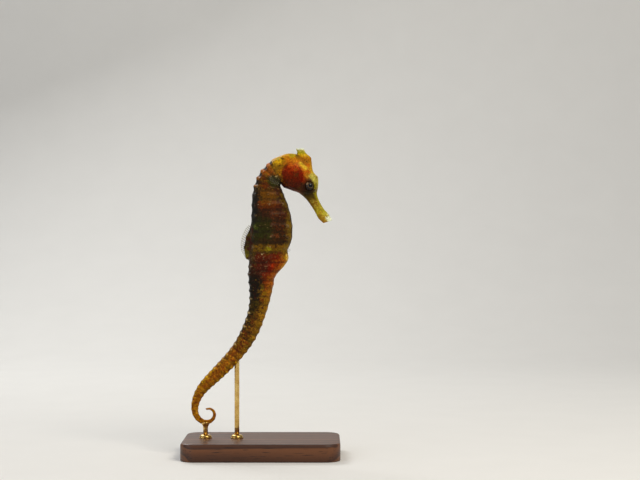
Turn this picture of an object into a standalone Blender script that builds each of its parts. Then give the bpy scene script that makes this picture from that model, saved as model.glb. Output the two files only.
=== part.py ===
"""Life-size display model of an adult seahorse, 141 mm tall, on a plain stand.

The animal faces +X with its back to -X and its own left side at +Y. Z is up, and the
origin is at the centre of the stand's underside. Sizes are in millimetres, and MM turns
them to metres where a mesh is made.

The body is one loft. Its sections are counted in bony rings: ring 0 is the nape, rings
0 to 11 are the trunk, rings 11 to 46 the tail, and negative numbers run down the head to
the lips. Thin slabs then part the loft into the pieces that a person would name.
"""
import math

import bmesh
import bpy
import numpy as np
from mathutils import Matrix, Vector

MM = 0.001
GAP = 0.3               # clearance between neighbouring pieces
COLUMNS = 24            # vertices round each body section
LEFT, RIGHT = 1, -1     # the animal's own sides, as signs of Y

# Sections of the head and trunk: ring, (x, z) of the upper or back edge, (x, z) of the
# lower or belly edge, half width.
LIPS, NAPE, TAIL_ROOT, TAIL_TIP = -9.0, 0.0, 13.0, 46.0
SECTIONS = (
    (LIPS, (32.3, 108.6), (28.0, 107.2), 1.7),      # rim of the mouth
    (-8.4, (30.7, 111.0), (26.5, 108.5), 1.95),     # flare behind the lips
    (-7.2, (28.5, 113.5), (24.4, 112.1), 1.75),
    (-6.0, (26.3, 117.4), (21.9, 116.0), 1.8),      # snout
    (-5.0, (25.4, 120.5), (19.4, 118.9), 2.5),
    (-4.2, (25.9, 123.7), (16.7, 120.9), 3.9),      # eye
    (-3.6, (25.9, 127.4), (14.6, 121.6), 4.7),      # brow
    (-2.9, (23.7, 130.6), (12.6, 122.4), 5.0),      # forehead
    (-2.2, (22.4, 134.8), (11.0, 122.9), 5.3),
    (-1.3, (17.4, 138.2), (10.0, 123.4), 5.5),       # crown
    (-0.6, (11.6, 138.8), (9.4, 124.1), 5.1),
    (NAPE, (6.1, 136.7), (8.9, 124.7), 4.7),
    (1.0, (2.9, 133.8), (8.7, 124.5), 4.55),        # the neck folds round the throat
    (2.0, (0.1, 131.0), (8.6, 124.1), 4.6),
    (3.0, (-1.9, 127.6), (8.7, 123.5), 4.8),
    (4.0, (-3.2, 123.7), (9.2, 122.3), 5.0),
    (5.0, (-4.2, 119.6), (10.1, 120.0), 5.3),
    (6.5, (-4.5, 112.7), (12.6, 113.1), 5.9),       # chest
    (8.0, (-4.9, 105.5), (14.0, 105.5), 6.2),       # belly
    (9.5, (-5.5, 98.2), (13.4, 98.0), 6.1),
    (10.3, (-5.8, 94.3), (11.9, 94.4), 5.8),        # vent
    (11.0, (-5.8, 90.8), (12.3, 90.9), 5.5),        # brood pouch
    (12.0, (-5.9, 86.9), (10.3, 87.1), 5.2),
)

# The tail: distance from its root, the angle it swings backwards from straight down
# (negative where it curls forwards), half its depth.
TAIL_START = (0.1, 83.0)
TAIL_STATIONS = (
    (0.0, 4.0, 6.2),
    (9.0, 6.0, 4.9),
    (17.0, 15.5, 4.1),
    (27.0, 25.5, 3.85),
    (38.0, 38.5, 3.35),
    (50.0, 45.0, 3.1),
    (58.5, 43.0, 2.65),
    (65.0, 25.5, 2.05),
    (71.0, 0.0, 1.55),
    (78.0, -64.0, 1.12),
    (85.0, -165.0, 0.74),
    (91.0, -290.0, 0.42),
)
TAIL_RING_AT_ROOT, TAIL_RING_AT_TIP = 3.87, 1.65    # length of one ring
TAIL_WIDTH = 0.82                                   # width as a share of depth

# Angles from the back at which ridges run along the body.
BACK_RIDGE, SIDE_RIDGE, LOW_RIDGE, KEEL = 45.0, 90.0, 135.0, 180.0

# Swellings of the head on each side: centre, radius, height.
EYE = (21.9, 3.4, 123.75)
EYE_RADIUS = 2.15
SWELLINGS = (
    ((21.9, 4.4, 123.75), 2.9, 0.3),     # orbit
    ((13.6, 5.2, 129.2), 4.0, 0.75),     # gill cover
    ((24.6, 2.4, 127.8), 1.3, 0.6),      # spine over the eye
    ((7.0, 3.4, 134.2), 1.6, 0.35),      # shoulder of the nape
)

# Coronet: a short column that leans back and ends in five blunt points.
CORONET_ROOT, CORONET_TOP = (19.5, 134.6), (17.3, 141.0)
CORONET_POINTS = 5
CORONET_PROFILE = (     # share of the height, half length, half width
    (0.0, 3.6, 2.4), (0.35, 3.7, 2.2), (0.55, 2.6, 1.7), (0.75, 1.8, 1.4),
    (0.9, 1.75, 1.6), (1.0, 1.55, 1.45), (0.94, 0.8, 0.75),
)

# Where the loft is parted, in rings, and the name of the piece above each cut.
PARTS = (
    (-4.65, "snout"), (-0.5, "head"), (3.5, "neck"), (7.5, "trunk_upper"),
    (11.5, "trunk_lower"), (16.5, "tail_1"), (21.5, "tail_2"), (26.5, "tail_3"),
    (31.5, "tail_4"), (35.5, "tail_5"), (39.5, "tail_6"), (TAIL_TIP, "tail_7"),
)
# The brood pouch lies in front of this line, below its first point.
POUCH_TOP, POUCH_FOOT = (8.9, 94.6), (4.7, 75.6)

# Fins. The dorsal fin has a fleshy base that carries a thin sheet of rays.
DORSAL_ROOT = ((-3.6, 104.4), (-4.2, 101.0), (-4.5, 97.5), (-4.8, 94.0), (-5.0, 90.9))
DORSAL_FLESH = ((-5.2, 104.9), (-6.8, 101.3), (-7.8, 97.4), (-7.9, 93.6), (-6.9, 90.6))
DORSAL_EDGE = ((-6.0, 106.2), (-8.2, 103.3), (-9.6, 99.0), (-9.6, 94.8), (-7.8, 91.0))
DORSAL_SPLITS = 3       # extra rows between two points of an edge
PECTORAL_ROOT = (7.3, 4.0, 128.2)
PECTORAL_LENGTH, PECTORAL_FAN = 4.9, 48.0       # length, half angle of the fan
PECTORAL_SPLAY = 32.0
ANAL_ROOT = (11.0, 0.0, 95.4)
ANAL_LENGTH, ANAL_FAN, ANAL_DROP = 2.4, 32.0, 38.0
FIN_ROOT_THICKNESS, FIN_RIM_THICKNESS = 1.7, 0.55

# Stand.
BASE_SIZE = (72.0, 46.0, 8.0)
BASE_CORNER, BASE_EDGE = 7.0, 1.0
ROD_RADIUS, ROD_DEPTH = 1.1, 5.0        # the rods stand this deep in the base
ROD_TAIL_X, ROD_TAIL_TOP = -11.4, 46.0
CUP_RADIUS, CUP_HEIGHT = 1.95, 2.0      # the cup under the tail's curl
COLLAR_WIDTH, COLLAR_HEIGHT = 1.5, 1.4

# Colour, roughness and metallic value of each piece.
PAINT = {
    "snout": ((0.62, 0.43, 0.03), 0.4, 0.0),
    "head": ((0.55, 0.20, 0.02), 0.4, 0.0),
    "coronet": ((0.72, 0.56, 0.16), 0.4, 0.0),
    "eye_left": ((0.02, 0.018, 0.02), 0.06, 0.0),
    "eye_right": ((0.02, 0.018, 0.02), 0.06, 0.0),
    "neck": ((0.38, 0.14, 0.02), 0.42, 0.0),
    "trunk_upper": ((0.14, 0.07, 0.02), 0.42, 0.0),
    "trunk_lower": ((0.12, 0.075, 0.018), 0.42, 0.0),
    "brood_pouch": ((0.36, 0.10, 0.015), 0.42, 0.0),
    "tail_1": ((0.16, 0.07, 0.015), 0.44, 0.0),
    "tail_2": ((0.22, 0.095, 0.015), 0.44, 0.0),
    "tail_3": ((0.27, 0.11, 0.015), 0.45, 0.0),
    "tail_4": ((0.32, 0.13, 0.015), 0.45, 0.0),
    "tail_5": ((0.36, 0.15, 0.018), 0.46, 0.0),
    "tail_6": ((0.38, 0.16, 0.02), 0.46, 0.0),
    "tail_7": ((0.40, 0.17, 0.02), 0.47, 0.0),
    "dorsal_fin": ((0.40, 0.34, 0.16), 0.35, 0.0),
    "anal_fin": ((0.50, 0.38, 0.16), 0.35, 0.0),
    "pectoral_fin_left": ((0.46, 0.40, 0.22), 0.35, 0.0),
    "pectoral_fin_right": ((0.46, 0.40, 0.22), 0.35, 0.0),
    "stand_base": ((0.10, 0.045, 0.02), 0.35, 0.0),
    "stand_rod_tail": ((0.75, 0.58, 0.30), 0.25, 1.0),
    "stand_rod_curl": ((0.75, 0.58, 0.30), 0.25, 1.0),
    "stand_collar_tail": ((0.75, 0.58, 0.30), 0.25, 1.0),
    "stand_collar_curl": ((0.75, 0.58, 0.30), 0.25, 1.0),
}


# ---------------------------------------------------------------- scene and objects

def clear_scene():
    for obj in list(bpy.data.objects):
        bpy.data.objects.remove(obj, do_unlink=True)


def make_collection(name):
    made = bpy.data.collections.new(name)
    bpy.context.scene.collection.children.link(made)
    return made


def paint(obj):
    """Gives a piece its own material."""
    colour, roughness, metallic = PAINT[obj.name]
    material = bpy.data.materials.new(obj.name)
    material.use_nodes = True
    shader = material.node_tree.nodes["Principled BSDF"]
    shader.inputs["Base Color"].default_value = (*colour, 1.0)
    shader.inputs["Roughness"].default_value = roughness
    shader.inputs["Metallic"].default_value = metallic
    obj.data.materials.clear()
    obj.data.materials.append(material)
    return obj


def add_object(mesh, collection, name=None):
    obj = bpy.data.objects.new(name or mesh.name, mesh)
    collection.objects.link(obj)
    return obj


def hide_helper(obj):
    obj.hide_render = True
    obj.display_type = "WIRE"
    return obj


def primitive(name, collection, at, create, **settings):
    """An object from one of bmesh's primitives, placed by its location."""
    mesh = bpy.data.meshes.new(name)
    edit = bmesh.new()
    create(edit, **settings)
    edit.to_mesh(mesh)
    edit.free()
    obj = add_object(mesh, collection, name)
    obj.location = Vector(at) * MM
    return obj


def bar(name, collection, x, low, high, radius):
    """A round upright bar between two heights."""
    return primitive(name, collection, (x, 0.0, (low + high) / 2), bmesh.ops.create_cone,
                     cap_ends=True, segments=20, radius1=radius * MM, radius2=radius * MM,
                     depth=(high - low) * MM)


def ball(name, collection, at, radius, segments):
    return primitive(name, collection, at, bmesh.ops.create_uvsphere,
                     u_segments=segments, v_segments=segments // 2, radius=radius * MM)


def subtract(obj, cutter):
    """Adds a Boolean that takes away an object or every object of a collection."""
    modifier = obj.modifiers.new("cut", "BOOLEAN")
    if isinstance(cutter, bpy.types.Collection):
        modifier.operand_type = "COLLECTION"
        modifier.collection = cutter
    else:
        modifier.object = cutter
    return obj


def apply_modifiers(obj):
    graph = bpy.context.evaluated_depsgraph_get()
    graph.update()
    mesh = bpy.data.meshes.new_from_object(obj.evaluated_get(graph))
    obj.modifiers.clear()
    old, obj.data = obj.data, mesh
    bpy.data.meshes.remove(old)


# ---------------------------------------------------------------- shape of the body

def smooth_through(at, knots, values):
    """A smooth curve through the values at the knots, read at every number in at."""
    knots = np.asarray(knots, float)
    values = np.asarray(values, float).reshape(len(knots), -1)
    step = np.diff(knots)
    slope = np.diff(values, axis=0) / step[:, None]
    before, after = step[:-1, None], step[1:, None]
    inner = (slope[:-1] * after + slope[1:] * before) / (before + after)
    tangent = np.vstack((slope[:1], inner, slope[-1:]))
    at = np.atleast_1d(np.asarray(at, float))
    i = np.clip(np.searchsorted(knots, at, side="right") - 1, 0, len(step) - 1)
    width = step[i][:, None]
    t = ((at - knots[i]) / step[i])[:, None]
    return (
        (2 * t**3 - 3 * t**2 + 1) * values[i]
        + (t**3 - 2 * t**2 + t) * width * tangent[i]
        + (3 * t**2 - 2 * t**3) * values[i + 1]
        + (t**3 - t**2) * width * tangent[i + 1]
    )


def tail_sections():
    """One section for each tail ring, worked out by walking along the tail's curve."""
    steps = 40
    rings = np.linspace(TAIL_ROOT, TAIL_TIP, int(TAIL_TIP - TAIL_ROOT) * steps + 1)
    share = (rings - TAIL_ROOT) / (TAIL_TIP - TAIL_ROOT)
    pace = TAIL_RING_AT_ROOT + (TAIL_RING_AT_TIP - TAIL_RING_AT_ROOT) * share
    walked = np.concatenate(([0.0], np.cumsum((pace[1:] + pace[:-1]) / 2 * np.diff(rings))))
    distance, swing, depth = zip(*TAIL_STATIONS)
    swing = np.radians(smooth_through(walked, distance, swing)[:, 0])
    depth = smooth_through(walked, distance, depth)[:, 0]
    ahead = np.column_stack((-np.sin(swing), -np.cos(swing)))
    moves = (ahead[1:] + ahead[:-1]) / 2 * np.diff(walked)[:, None]
    centre = np.vstack((np.zeros(2), np.cumsum(moves, axis=0))) + TAIL_START
    belly = np.column_stack((np.cos(swing), -np.sin(swing)))
    return [
        (rings[i], centre[i] - belly[i] * depth[i], centre[i] + belly[i] * depth[i],
         depth[i] * TAIL_WIDTH)
        for i in range(0, len(rings), steps)
    ]


def outline(rings):
    """Back edge, belly edge and half width of the body at these rings."""
    ribs = list(SECTIONS) + tail_sections()
    knots = [rib[0] for rib in ribs]
    table = [(*rib[1], *rib[2], rib[3]) for rib in ribs]
    found = smooth_through(rings, knots, table)
    return found[:, 0:2], found[:, 2:4], found[:, 4]


def band(value, low, high):
    """0 below low, 1 above high, and a smooth step between."""
    t = np.clip((value - low) / (high - low), 0.0, 1.0)
    return t * t * (3 - 2 * t)


def ridge(angles, centre, width=11.0):
    """A ridge at this angle from the back, on both sides of the body."""
    return np.exp(-(((np.abs(np.degrees(angles)) - centre) / width) ** 2))


def body_points(rings, angles, grow=0.0):
    """Points of the body's surface, one row for each ring number, in millimetres.

    Each section is a superellipse: round on the head, fuller towards the back on the
    trunk and nearly square on the tail. The ring edges, the ridges and the swellings
    then push the points outwards.
    """
    back, belly, half_width = outline(rings)
    rings = np.asarray(rings, float)[:, None]
    angles = np.asarray(angles, float)[None, :]
    trunk, tail = band(rings, 2.0, 6.0), band(rings, 9.5, 13.0)
    power = 2 / (2.1 + 0.25 * trunk + 0.95 * tail)
    up = np.sign(np.cos(angles)) * np.abs(np.cos(angles)) ** power
    out = np.sign(np.sin(angles)) * np.abs(np.sin(angles)) ** power
    out = out * (1 + 0.16 * trunk * (1 - tail) * up)
    middle, reach = (back + belly) / 2, (back - belly) / 2
    offset = np.stack((reach[:, :1] * up, half_width[:, None] * out, reach[:, 1:] * up), axis=2)
    size = np.minimum(half_width, np.linalg.norm(reach, axis=1))[:, None]

    crest = ((1 + np.cos(2 * np.pi * rings)) / 2) ** 2
    armoured = band(rings, -0.6, 0.4) * (1 - band(rings, TAIL_TIP - 2, TAIL_TIP))
    corners = ridge(angles, BACK_RIDGE) + ridge(angles, LOW_RIDGE)
    keels = ridge(angles, SIDE_RIDGE) + 0.4 * ridge(angles, KEEL, 7.0)
    keels = keels + ridge(angles, 0.0, 14.0) * (1 - band(rings, 3.5, 5.5))
    raised = armoured * size * (
        0.03 * (crest - 0.4) + (corners + keels * (1 - tail)) * (0.005 + 0.055 * crest))

    middle = np.stack((middle[:, 0], 0 * half_width, middle[:, 1]), axis=1)[:, None, :]
    points = middle + offset
    outward = offset / np.linalg.norm(offset, axis=2)[:, :, None]
    for (x, y, z), radius, height in SWELLINGS:
        for side in (LEFT, RIGHT):
            away = np.linalg.norm(points - np.array((x, side * y, z)), axis=2)
            raised = raised + height * np.exp(-((away / radius) ** 2))
    return points + outward * (raised + grow)[:, :, None]


def body_rings():
    """Ring numbers of the loft's rows: closest where the outline turns most."""
    stretches = ((LIPS, NAPE, 0.36), (NAPE, 26, 0.5), (26, 36, 1.0), (36, TAIL_TIP + 0.01, 0.5))
    return np.concatenate([np.arange(*stretch) for stretch in stretches])


def end_rows(rows, shares, steps):
    """Rows beyond the first of these two rows: each is shrunk and set ahead a little."""
    row = rows[0]
    centre = row.mean(axis=0)
    ahead = centre - rows[1].mean(axis=0)
    ahead /= np.linalg.norm(ahead)
    return [centre + (row - centre) * share + ahead * step
            for share, step in zip(shares, steps)]


def loft(name, rows):
    """A closed mesh through rows of points that all have the same number of columns."""
    columns = len(rows[0])
    points = np.array(rows).reshape(-1, 3) * MM
    faces = []
    for start in range(0, len(points) - columns, columns):
        for column in range(columns):
            a, b = start + column, start + (column + 1) % columns
            faces.append((a, b, b + columns, a + columns))
    faces.append(tuple(range(columns)))
    faces.append(tuple(range(len(points) - columns, len(points))))
    mesh = bpy.data.meshes.new(name)
    mesh.from_pydata([tuple(point) for point in points], [], faces)
    edit = bmesh.new()
    edit.from_mesh(mesh)
    bmesh.ops.recalc_face_normals(edit, faces=edit.faces)
    edit.to_mesh(mesh)
    edit.free()
    return mesh


def body_mesh(name, grow=0.0):
    """The whole animal without its fins and coronet."""
    angles = np.linspace(-math.pi, math.pi, COLUMNS, endpoint=False)
    rows = list(body_points(body_rings(), angles, grow))
    mouth = end_rows(rows[:2], (0.84, 0.6, 0.42), (0.35, 0.2, -0.7))
    tip = end_rows(rows[:-3:-1], (0.6,), (0.25,))
    return loft(name, mouth[::-1] + rows + tip)


# ---------------------------------------------------------------- parting the body

def slab(name, collection, start, end, half_width):
    """A thin cutter that stands on edge along a line in the XZ plane."""
    start, end = Vector((start[0], 0, start[1])), Vector((end[0], 0, end[1]))
    along = end - start
    cutter = primitive(name, collection, (start + end) / 2, bmesh.ops.create_cube, size=1.0)
    cutter.data.transform(Matrix.Diagonal((along.length * MM, 2 * half_width * MM, GAP * MM, 1)))
    cutter.rotation_euler = (0, math.atan2(-along.z, along.x), 0)
    return hide_helper(cutter)


def pouch_line_at(height):
    share = (POUCH_TOP[1] - height) / (POUCH_TOP[1] - POUCH_FOOT[1])
    return POUCH_TOP[0] + (POUCH_FOOT[0] - POUCH_TOP[0]) * share


def parting_slabs(collection):
    """Cutters between the named pieces: one across each cut, and two round the pouch."""
    for ring, name in PARTS[:-1]:
        back, belly, half_width = (found[0] for found in outline([ring]))
        depth = np.linalg.norm(back - belly)
        down = (belly - back) / depth
        margin = min(1.0, 0.5 * depth)
        start, end = back - down * margin, belly + down * margin
        if name == "head":
            end = belly + down * 0.55       # the chest lies just under the throat
        if name == "trunk_lower":
            end = np.array((pouch_line_at(belly[1]), belly[1]))
        slab("part_" + name, collection, start, end, half_width + 1.5)
    slab("part_pouch_top", collection, POUCH_TOP, (15.0, POUCH_TOP[1]), 8.0)
    slab("part_pouch_back", collection, POUCH_TOP, POUCH_FOOT, 8.0)


def loose_pieces(obj, collection):
    """Splits an object into its separate bodies."""
    edit = bmesh.new()
    edit.from_mesh(obj.data)
    left, groups = set(edit.verts), []
    while left:
        group, front = set(), [left.pop()]
        while front:
            vert = front.pop()
            group.add(vert.index)
            linked = {edge.other_vert(vert) for edge in vert.link_edges} & left
            left -= linked
            front.extend(linked)
        groups.append(group)
    edit.free()
    made = []
    for group in groups:
        mesh = obj.data.copy()
        edit = bmesh.new()
        edit.from_mesh(mesh)
        gone = [vert for vert in edit.verts if vert.index not in group]
        bmesh.ops.delete(edit, geom=gone, context="VERTS")
        edit.to_mesh(mesh)
        edit.free()
        made.append(add_object(mesh, collection, "piece"))
    return made


def name_of_piece(piece):
    """The part of the body that a piece's middle lies in."""
    corners = np.array([vert.co[:] for vert in piece.data.vertices]) / MM
    middle = ((corners.min(axis=0) + corners.max(axis=0)) / 2)[[0, 2]]
    if POUCH_FOOT[1] < middle[1] < POUCH_TOP[1] and middle[0] > pouch_line_at(middle[1]):
        return "brood_pouch"
    rings = np.arange(LIPS, TAIL_TIP, 0.1)
    back, belly, _ = outline(rings)
    nearest = rings[np.argmin(np.linalg.norm((back + belly) / 2 - middle, axis=1))]
    return next(name for limit, name in PARTS if nearest < limit)


def build_body(parts, cutters):
    """Lofts the animal, bores its sockets and parts it into named pieces."""
    hull = add_object(body_mesh("body"), cutters)
    tools = make_collection("body_cutters")
    parting_slabs(tools)
    for side in (LEFT, RIGHT):
        hide_helper(ball("socket_eye", tools, (EYE[0], side * EYE[1], EYE[2]),
                         EYE_RADIUS + GAP, 16))
    hide_helper(bar("socket_rod", tools, ROD_TAIL_X, ROD_TAIL_TOP - 9, ROD_TAIL_TOP + GAP,
                    ROD_RADIUS + GAP))
    subtract(hull, tools)
    apply_modifiers(hull)
    for piece in loose_pieces(hull, parts):
        piece.name = piece.data.name = name_of_piece(piece)
        paint(piece)
    bpy.data.objects.remove(hull, do_unlink=True)


# ---------------------------------------------------------------- eyes, coronet and fins

def build_eyes(parts):
    for name, side in (("eye_left", LEFT), ("eye_right", RIGHT)):
        eye = ball(name, parts, (EYE[0], side * EYE[1], EYE[2]), EYE_RADIUS, 16)
        eye.data.shade_smooth()
        paint(eye)


def build_coronet(parts, skin):
    root = np.array((CORONET_ROOT[0], 0.0, CORONET_ROOT[1]))
    top = np.array((CORONET_TOP[0], 0.0, CORONET_TOP[1]))
    angles = np.linspace(0.0, 2 * math.pi, 20, endpoint=False)
    rows = []
    for share, half_length, half_width in CORONET_PROFILE:
        star = 1 + 0.13 * band(share, 0.6, 0.9) * np.cos(CORONET_POINTS * angles)
        lift = 0.2 * band(share, 0.8, 1.0) * np.cos(CORONET_POINTS * angles)
        offset = np.column_stack((half_length * star * np.cos(angles),
                                  half_width * star * np.sin(angles), lift))
        rows.append(root + (top - root) * share + offset)
    coronet = add_object(loft("coronet", rows), parts)
    subtract(paint(coronet), skin)


def fin(name, parts, skin, grid, flesh):
    """A fin from an open grid of points whose first column lies inside the body.

    Solidify makes it thickest as far as the fleshy column and thinnest at the rim.
    """
    rows, columns = grid.shape[:2]
    faces = [(a, a + 1, a + columns + 1, a + columns)
             for row in range(rows - 1)
             for a in range(row * columns, row * columns + columns - 1)]
    mesh = bpy.data.meshes.new(name)
    mesh.from_pydata([tuple(point) for point in grid.reshape(-1, 3) * MM], [], faces)
    obj = add_object(mesh, parts)
    thick = obj.vertex_groups.new(name="thick")
    for index in range(rows * columns):
        column = index % columns
        past = max(0, column - flesh) / (columns - 1 - flesh)
        thick.add([index], 1 - math.sqrt(past), "REPLACE")
    solidify = obj.modifiers.new("thickness", "SOLIDIFY")
    solidify.thickness = FIN_ROOT_THICKNESS * MM
    solidify.offset = 0.0
    solidify.vertex_group = "thick"
    solidify.thickness_vertex_group = FIN_RIM_THICKNESS / FIN_ROOT_THICKNESS
    subtract(paint(obj), skin)


def build_dorsal_fin(parts, skin):
    knots = range(len(DORSAL_ROOT))
    rows = np.linspace(0, len(DORSAL_ROOT) - 1, (len(DORSAL_ROOT) - 1) * DORSAL_SPLITS + 1)
    root, flesh, edge = (
        smooth_through(rows, knots, line) for line in (DORSAL_ROOT, DORSAL_FLESH, DORSAL_EDGE))
    columns = (root, flesh, flesh + (edge - flesh) * 0.3, edge)
    grid = np.stack([np.insert(column, 1, 0.0, axis=1) for column in columns], axis=1)
    fin("dorsal_fin", parts, skin, grid, flesh=1)


def fan(root, along, across, length, half_angle, rows=9):
    """A grid for a fan: along points down its middle, across to one side."""
    turn = np.radians(np.linspace(-half_angle, half_angle, rows))[:, None, None]
    reach = np.array((0.12, 0.4, 0.7, 1.0))[None, :, None] * length
    reach = reach * (1 - 0.1 * (turn / turn.max()) ** 2)
    return root + reach * (np.cos(turn) * along + np.sin(turn) * across)


def build_pectoral_fins(parts, skin):
    back, belly, _ = outline([2.0])
    down = (belly - back)[0] / np.linalg.norm(belly - back)
    across = np.array((down[0], 0.0, down[1]))
    splay = math.radians(PECTORAL_SPLAY)
    for name, side in (("pectoral_fin_left", LEFT), ("pectoral_fin_right", RIGHT)):
        along = np.array((down[1] * math.cos(splay), side * math.sin(splay),
                          -down[0] * math.cos(splay)))
        root = np.array(PECTORAL_ROOT) * (1, side, 1)
        grid = fan(root, along, across, PECTORAL_LENGTH, PECTORAL_FAN)
        fin(name, parts, skin, grid, flesh=0)


def build_anal_fin(parts, skin):
    drop = math.radians(ANAL_DROP)
    along = np.array((math.cos(drop), 0.0, -math.sin(drop)))
    across = np.array((math.sin(drop), 0.0, math.cos(drop)))
    grid = fan(np.array(ANAL_ROOT), along, across, ANAL_LENGTH, ANAL_FAN, rows=5)
    fin("anal_fin", parts, skin, grid, flesh=0)


# ---------------------------------------------------------------- stand

def turned(name, collection, x, profile):
    """A ring or a stem: an outline in the XZ plane, turned about an upright axis at x."""
    mesh = bpy.data.meshes.new(name)
    points = [(radius * MM, 0.0, height * MM) for radius, height in profile]
    closed = profile[0][0] > 0
    edges = [(i, (i + 1) % len(points)) for i in range(len(points) - (0 if closed else 1))]
    mesh.from_pydata(points, edges, [])
    obj = add_object(mesh, collection, name)
    obj.location = (x * MM, 0.0, 0.0)
    screw = obj.modifiers.new("turn", "SCREW")
    screw.steps = screw.render_steps = 20
    screw.use_merge_vertices = True
    screw.merge_threshold = 0.00001
    return obj


def lowest_of_tail():
    """Place and height of the underside of the tail's curl."""
    rings = np.arange(30.0, TAIL_TIP, 0.05)
    back, _, _ = outline(rings)
    return back[np.argmin(back[:, 1])]


def build_stand(parts, cutters, skin):
    length, width, height = BASE_SIZE
    base = primitive("stand_base", parts, (0, 0, height / 2), bmesh.ops.create_cube, size=1.0)
    base.data.transform(Matrix.Diagonal((length * MM, width * MM, height * MM, 1)))
    edit = bmesh.new()
    edit.from_mesh(base.data)
    upright = [edge for edge in edit.edges
               if abs(edge.verts[0].co.z - edge.verts[1].co.z) > height * MM / 2]
    bmesh.ops.bevel(edit, geom=upright, offset=BASE_CORNER * MM, segments=5, profile=0.5,
                    affect="EDGES")
    edit.to_mesh(base.data)
    edit.free()
    bevel = base.modifiers.new("edges", "BEVEL")
    bevel.width = BASE_EDGE * MM
    bevel.segments = 2
    bevel.limit_method = "ANGLE"
    bevel.angle_limit = math.radians(60)
    paint(base)

    foot = height - ROD_DEPTH
    curl_x, curl_low = lowest_of_tail()
    for x, name in ((ROD_TAIL_X, "tail"), (curl_x, "curl")):
        hole = hide_helper(bar("hole_" + name, cutters, x, foot - GAP, height + 2,
                               ROD_RADIUS + GAP))
        subtract(base, hole)
        inner, low = ROD_RADIUS + GAP, height + GAP
        outer, top = inner + COLLAR_WIDTH, height + GAP + COLLAR_HEIGHT
        collar = turned("stand_collar_" + name, parts, x, (
            (outer, top - 0.4), (outer, low), (inner, low), (inner, top), (outer - 0.5, top)))
        paint(collar)

    paint(bar("stand_rod_tail", parts, ROD_TAIL_X, foot, ROD_TAIL_TOP, ROD_RADIUS))
    cup = curl_low + 0.55 * CUP_HEIGHT
    rod = turned("stand_rod_curl", parts, curl_x, (
        (0.0, cup), (CUP_RADIUS, cup), (CUP_RADIUS, cup - CUP_HEIGHT),
        (ROD_RADIUS, cup - CUP_HEIGHT - 1.2), (ROD_RADIUS, foot), (0.0, foot)))
    subtract(paint(rod), skin)


def main():
    clear_scene()
    parts, cutters = make_collection("seahorse"), make_collection("cutters")
    build_body(parts, cutters)
    skin = hide_helper(add_object(body_mesh("clearance", GAP), cutters))
    build_eyes(parts)
    build_coronet(parts, skin)
    build_dorsal_fin(parts, skin)
    build_pectoral_fins(parts, skin)
    build_anal_fin(parts, skin)
    build_stand(parts, cutters, skin)


main()
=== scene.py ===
import bpy
import numpy as np
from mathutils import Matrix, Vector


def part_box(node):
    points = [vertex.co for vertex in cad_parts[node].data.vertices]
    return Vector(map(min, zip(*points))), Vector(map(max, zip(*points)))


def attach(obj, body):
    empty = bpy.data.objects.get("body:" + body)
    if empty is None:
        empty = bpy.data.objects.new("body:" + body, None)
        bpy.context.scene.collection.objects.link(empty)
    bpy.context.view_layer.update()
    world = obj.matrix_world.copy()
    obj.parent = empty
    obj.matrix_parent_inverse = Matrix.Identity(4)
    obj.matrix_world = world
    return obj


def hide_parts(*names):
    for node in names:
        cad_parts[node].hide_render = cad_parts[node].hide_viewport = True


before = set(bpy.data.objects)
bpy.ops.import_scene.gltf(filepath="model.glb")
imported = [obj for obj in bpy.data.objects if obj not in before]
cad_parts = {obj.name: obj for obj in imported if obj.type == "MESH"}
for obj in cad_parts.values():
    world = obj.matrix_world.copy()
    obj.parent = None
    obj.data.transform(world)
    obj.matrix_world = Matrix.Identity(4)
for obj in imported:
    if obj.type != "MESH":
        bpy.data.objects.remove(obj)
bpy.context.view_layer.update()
mm = 0.001
rng = np.random.default_rng(46)
print("frame loaded:", len(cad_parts), "solids")


# curves and grids

def smoothCurve(at, knots, values):
    # cubic through every knot, its slope there the distance-weighted mean of the two chords
    knots = np.asarray(knots, float)
    values = np.asarray(values, float).reshape(len(knots), -1)
    step = np.diff(knots)
    slope = np.diff(values, axis=0) / step[:, None]
    before, after = step[:-1, None], step[1:, None]
    inner = (slope[:-1] * after + slope[1:] * before) / (before + after)
    tangent = np.vstack((slope[:1], inner, slope[-1:]))
    at = np.atleast_1d(np.asarray(at, float))
    i = np.clip(np.searchsorted(knots, at, side="right") - 1, 0, len(step) - 1)
    width = step[i][:, None]
    t = ((at - knots[i]) / step[i])[:, None]
    return ((2 * t**3 - 3 * t**2 + 1) * values[i] + (t**3 - 2 * t**2 + t) * width * tangent[i]
            + (3 * t**2 - 2 * t**3) * values[i + 1] + (t**3 - t**2) * width * tangent[i + 1])


def ease(value, low, high):
    # 0 below low, 1 above high, smooth between
    t = np.clip((value - low) / (high - low), 0.0, 1.0)
    return t * t * (3 - 2 * t)


def window(value, low, high, soft):
    # 1 between low and high, fading over soft on both sides
    return ease(value, low - soft, low) * (1 - ease(value, high, high + soft))


def bell(distance, width):
    # 1 in the middle, 0.37 at `width` from it
    return np.exp(-(distance / width) ** 2)


def quarterTurn(count):
    # angles of a quarter circle
    return np.linspace(0.0, np.pi / 2, count)


def gridFaces(rows, columns, start=0, closed=True):
    # quads between neighbouring rows; corner columns run to `columns`, which wraps to 0
    across = np.arange(columns if closed else columns - 1)
    row, column = (part.ravel() for part in np.meshgrid(np.arange(rows - 1), across, indexing="ij"))
    corners = np.stack(((row, column), (row, column + 1), (row + 1, column + 1), (row + 1, column)))
    faces = start + corners[:, 0] * columns + corners[:, 1] % columns
    return faces.T, corners


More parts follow.
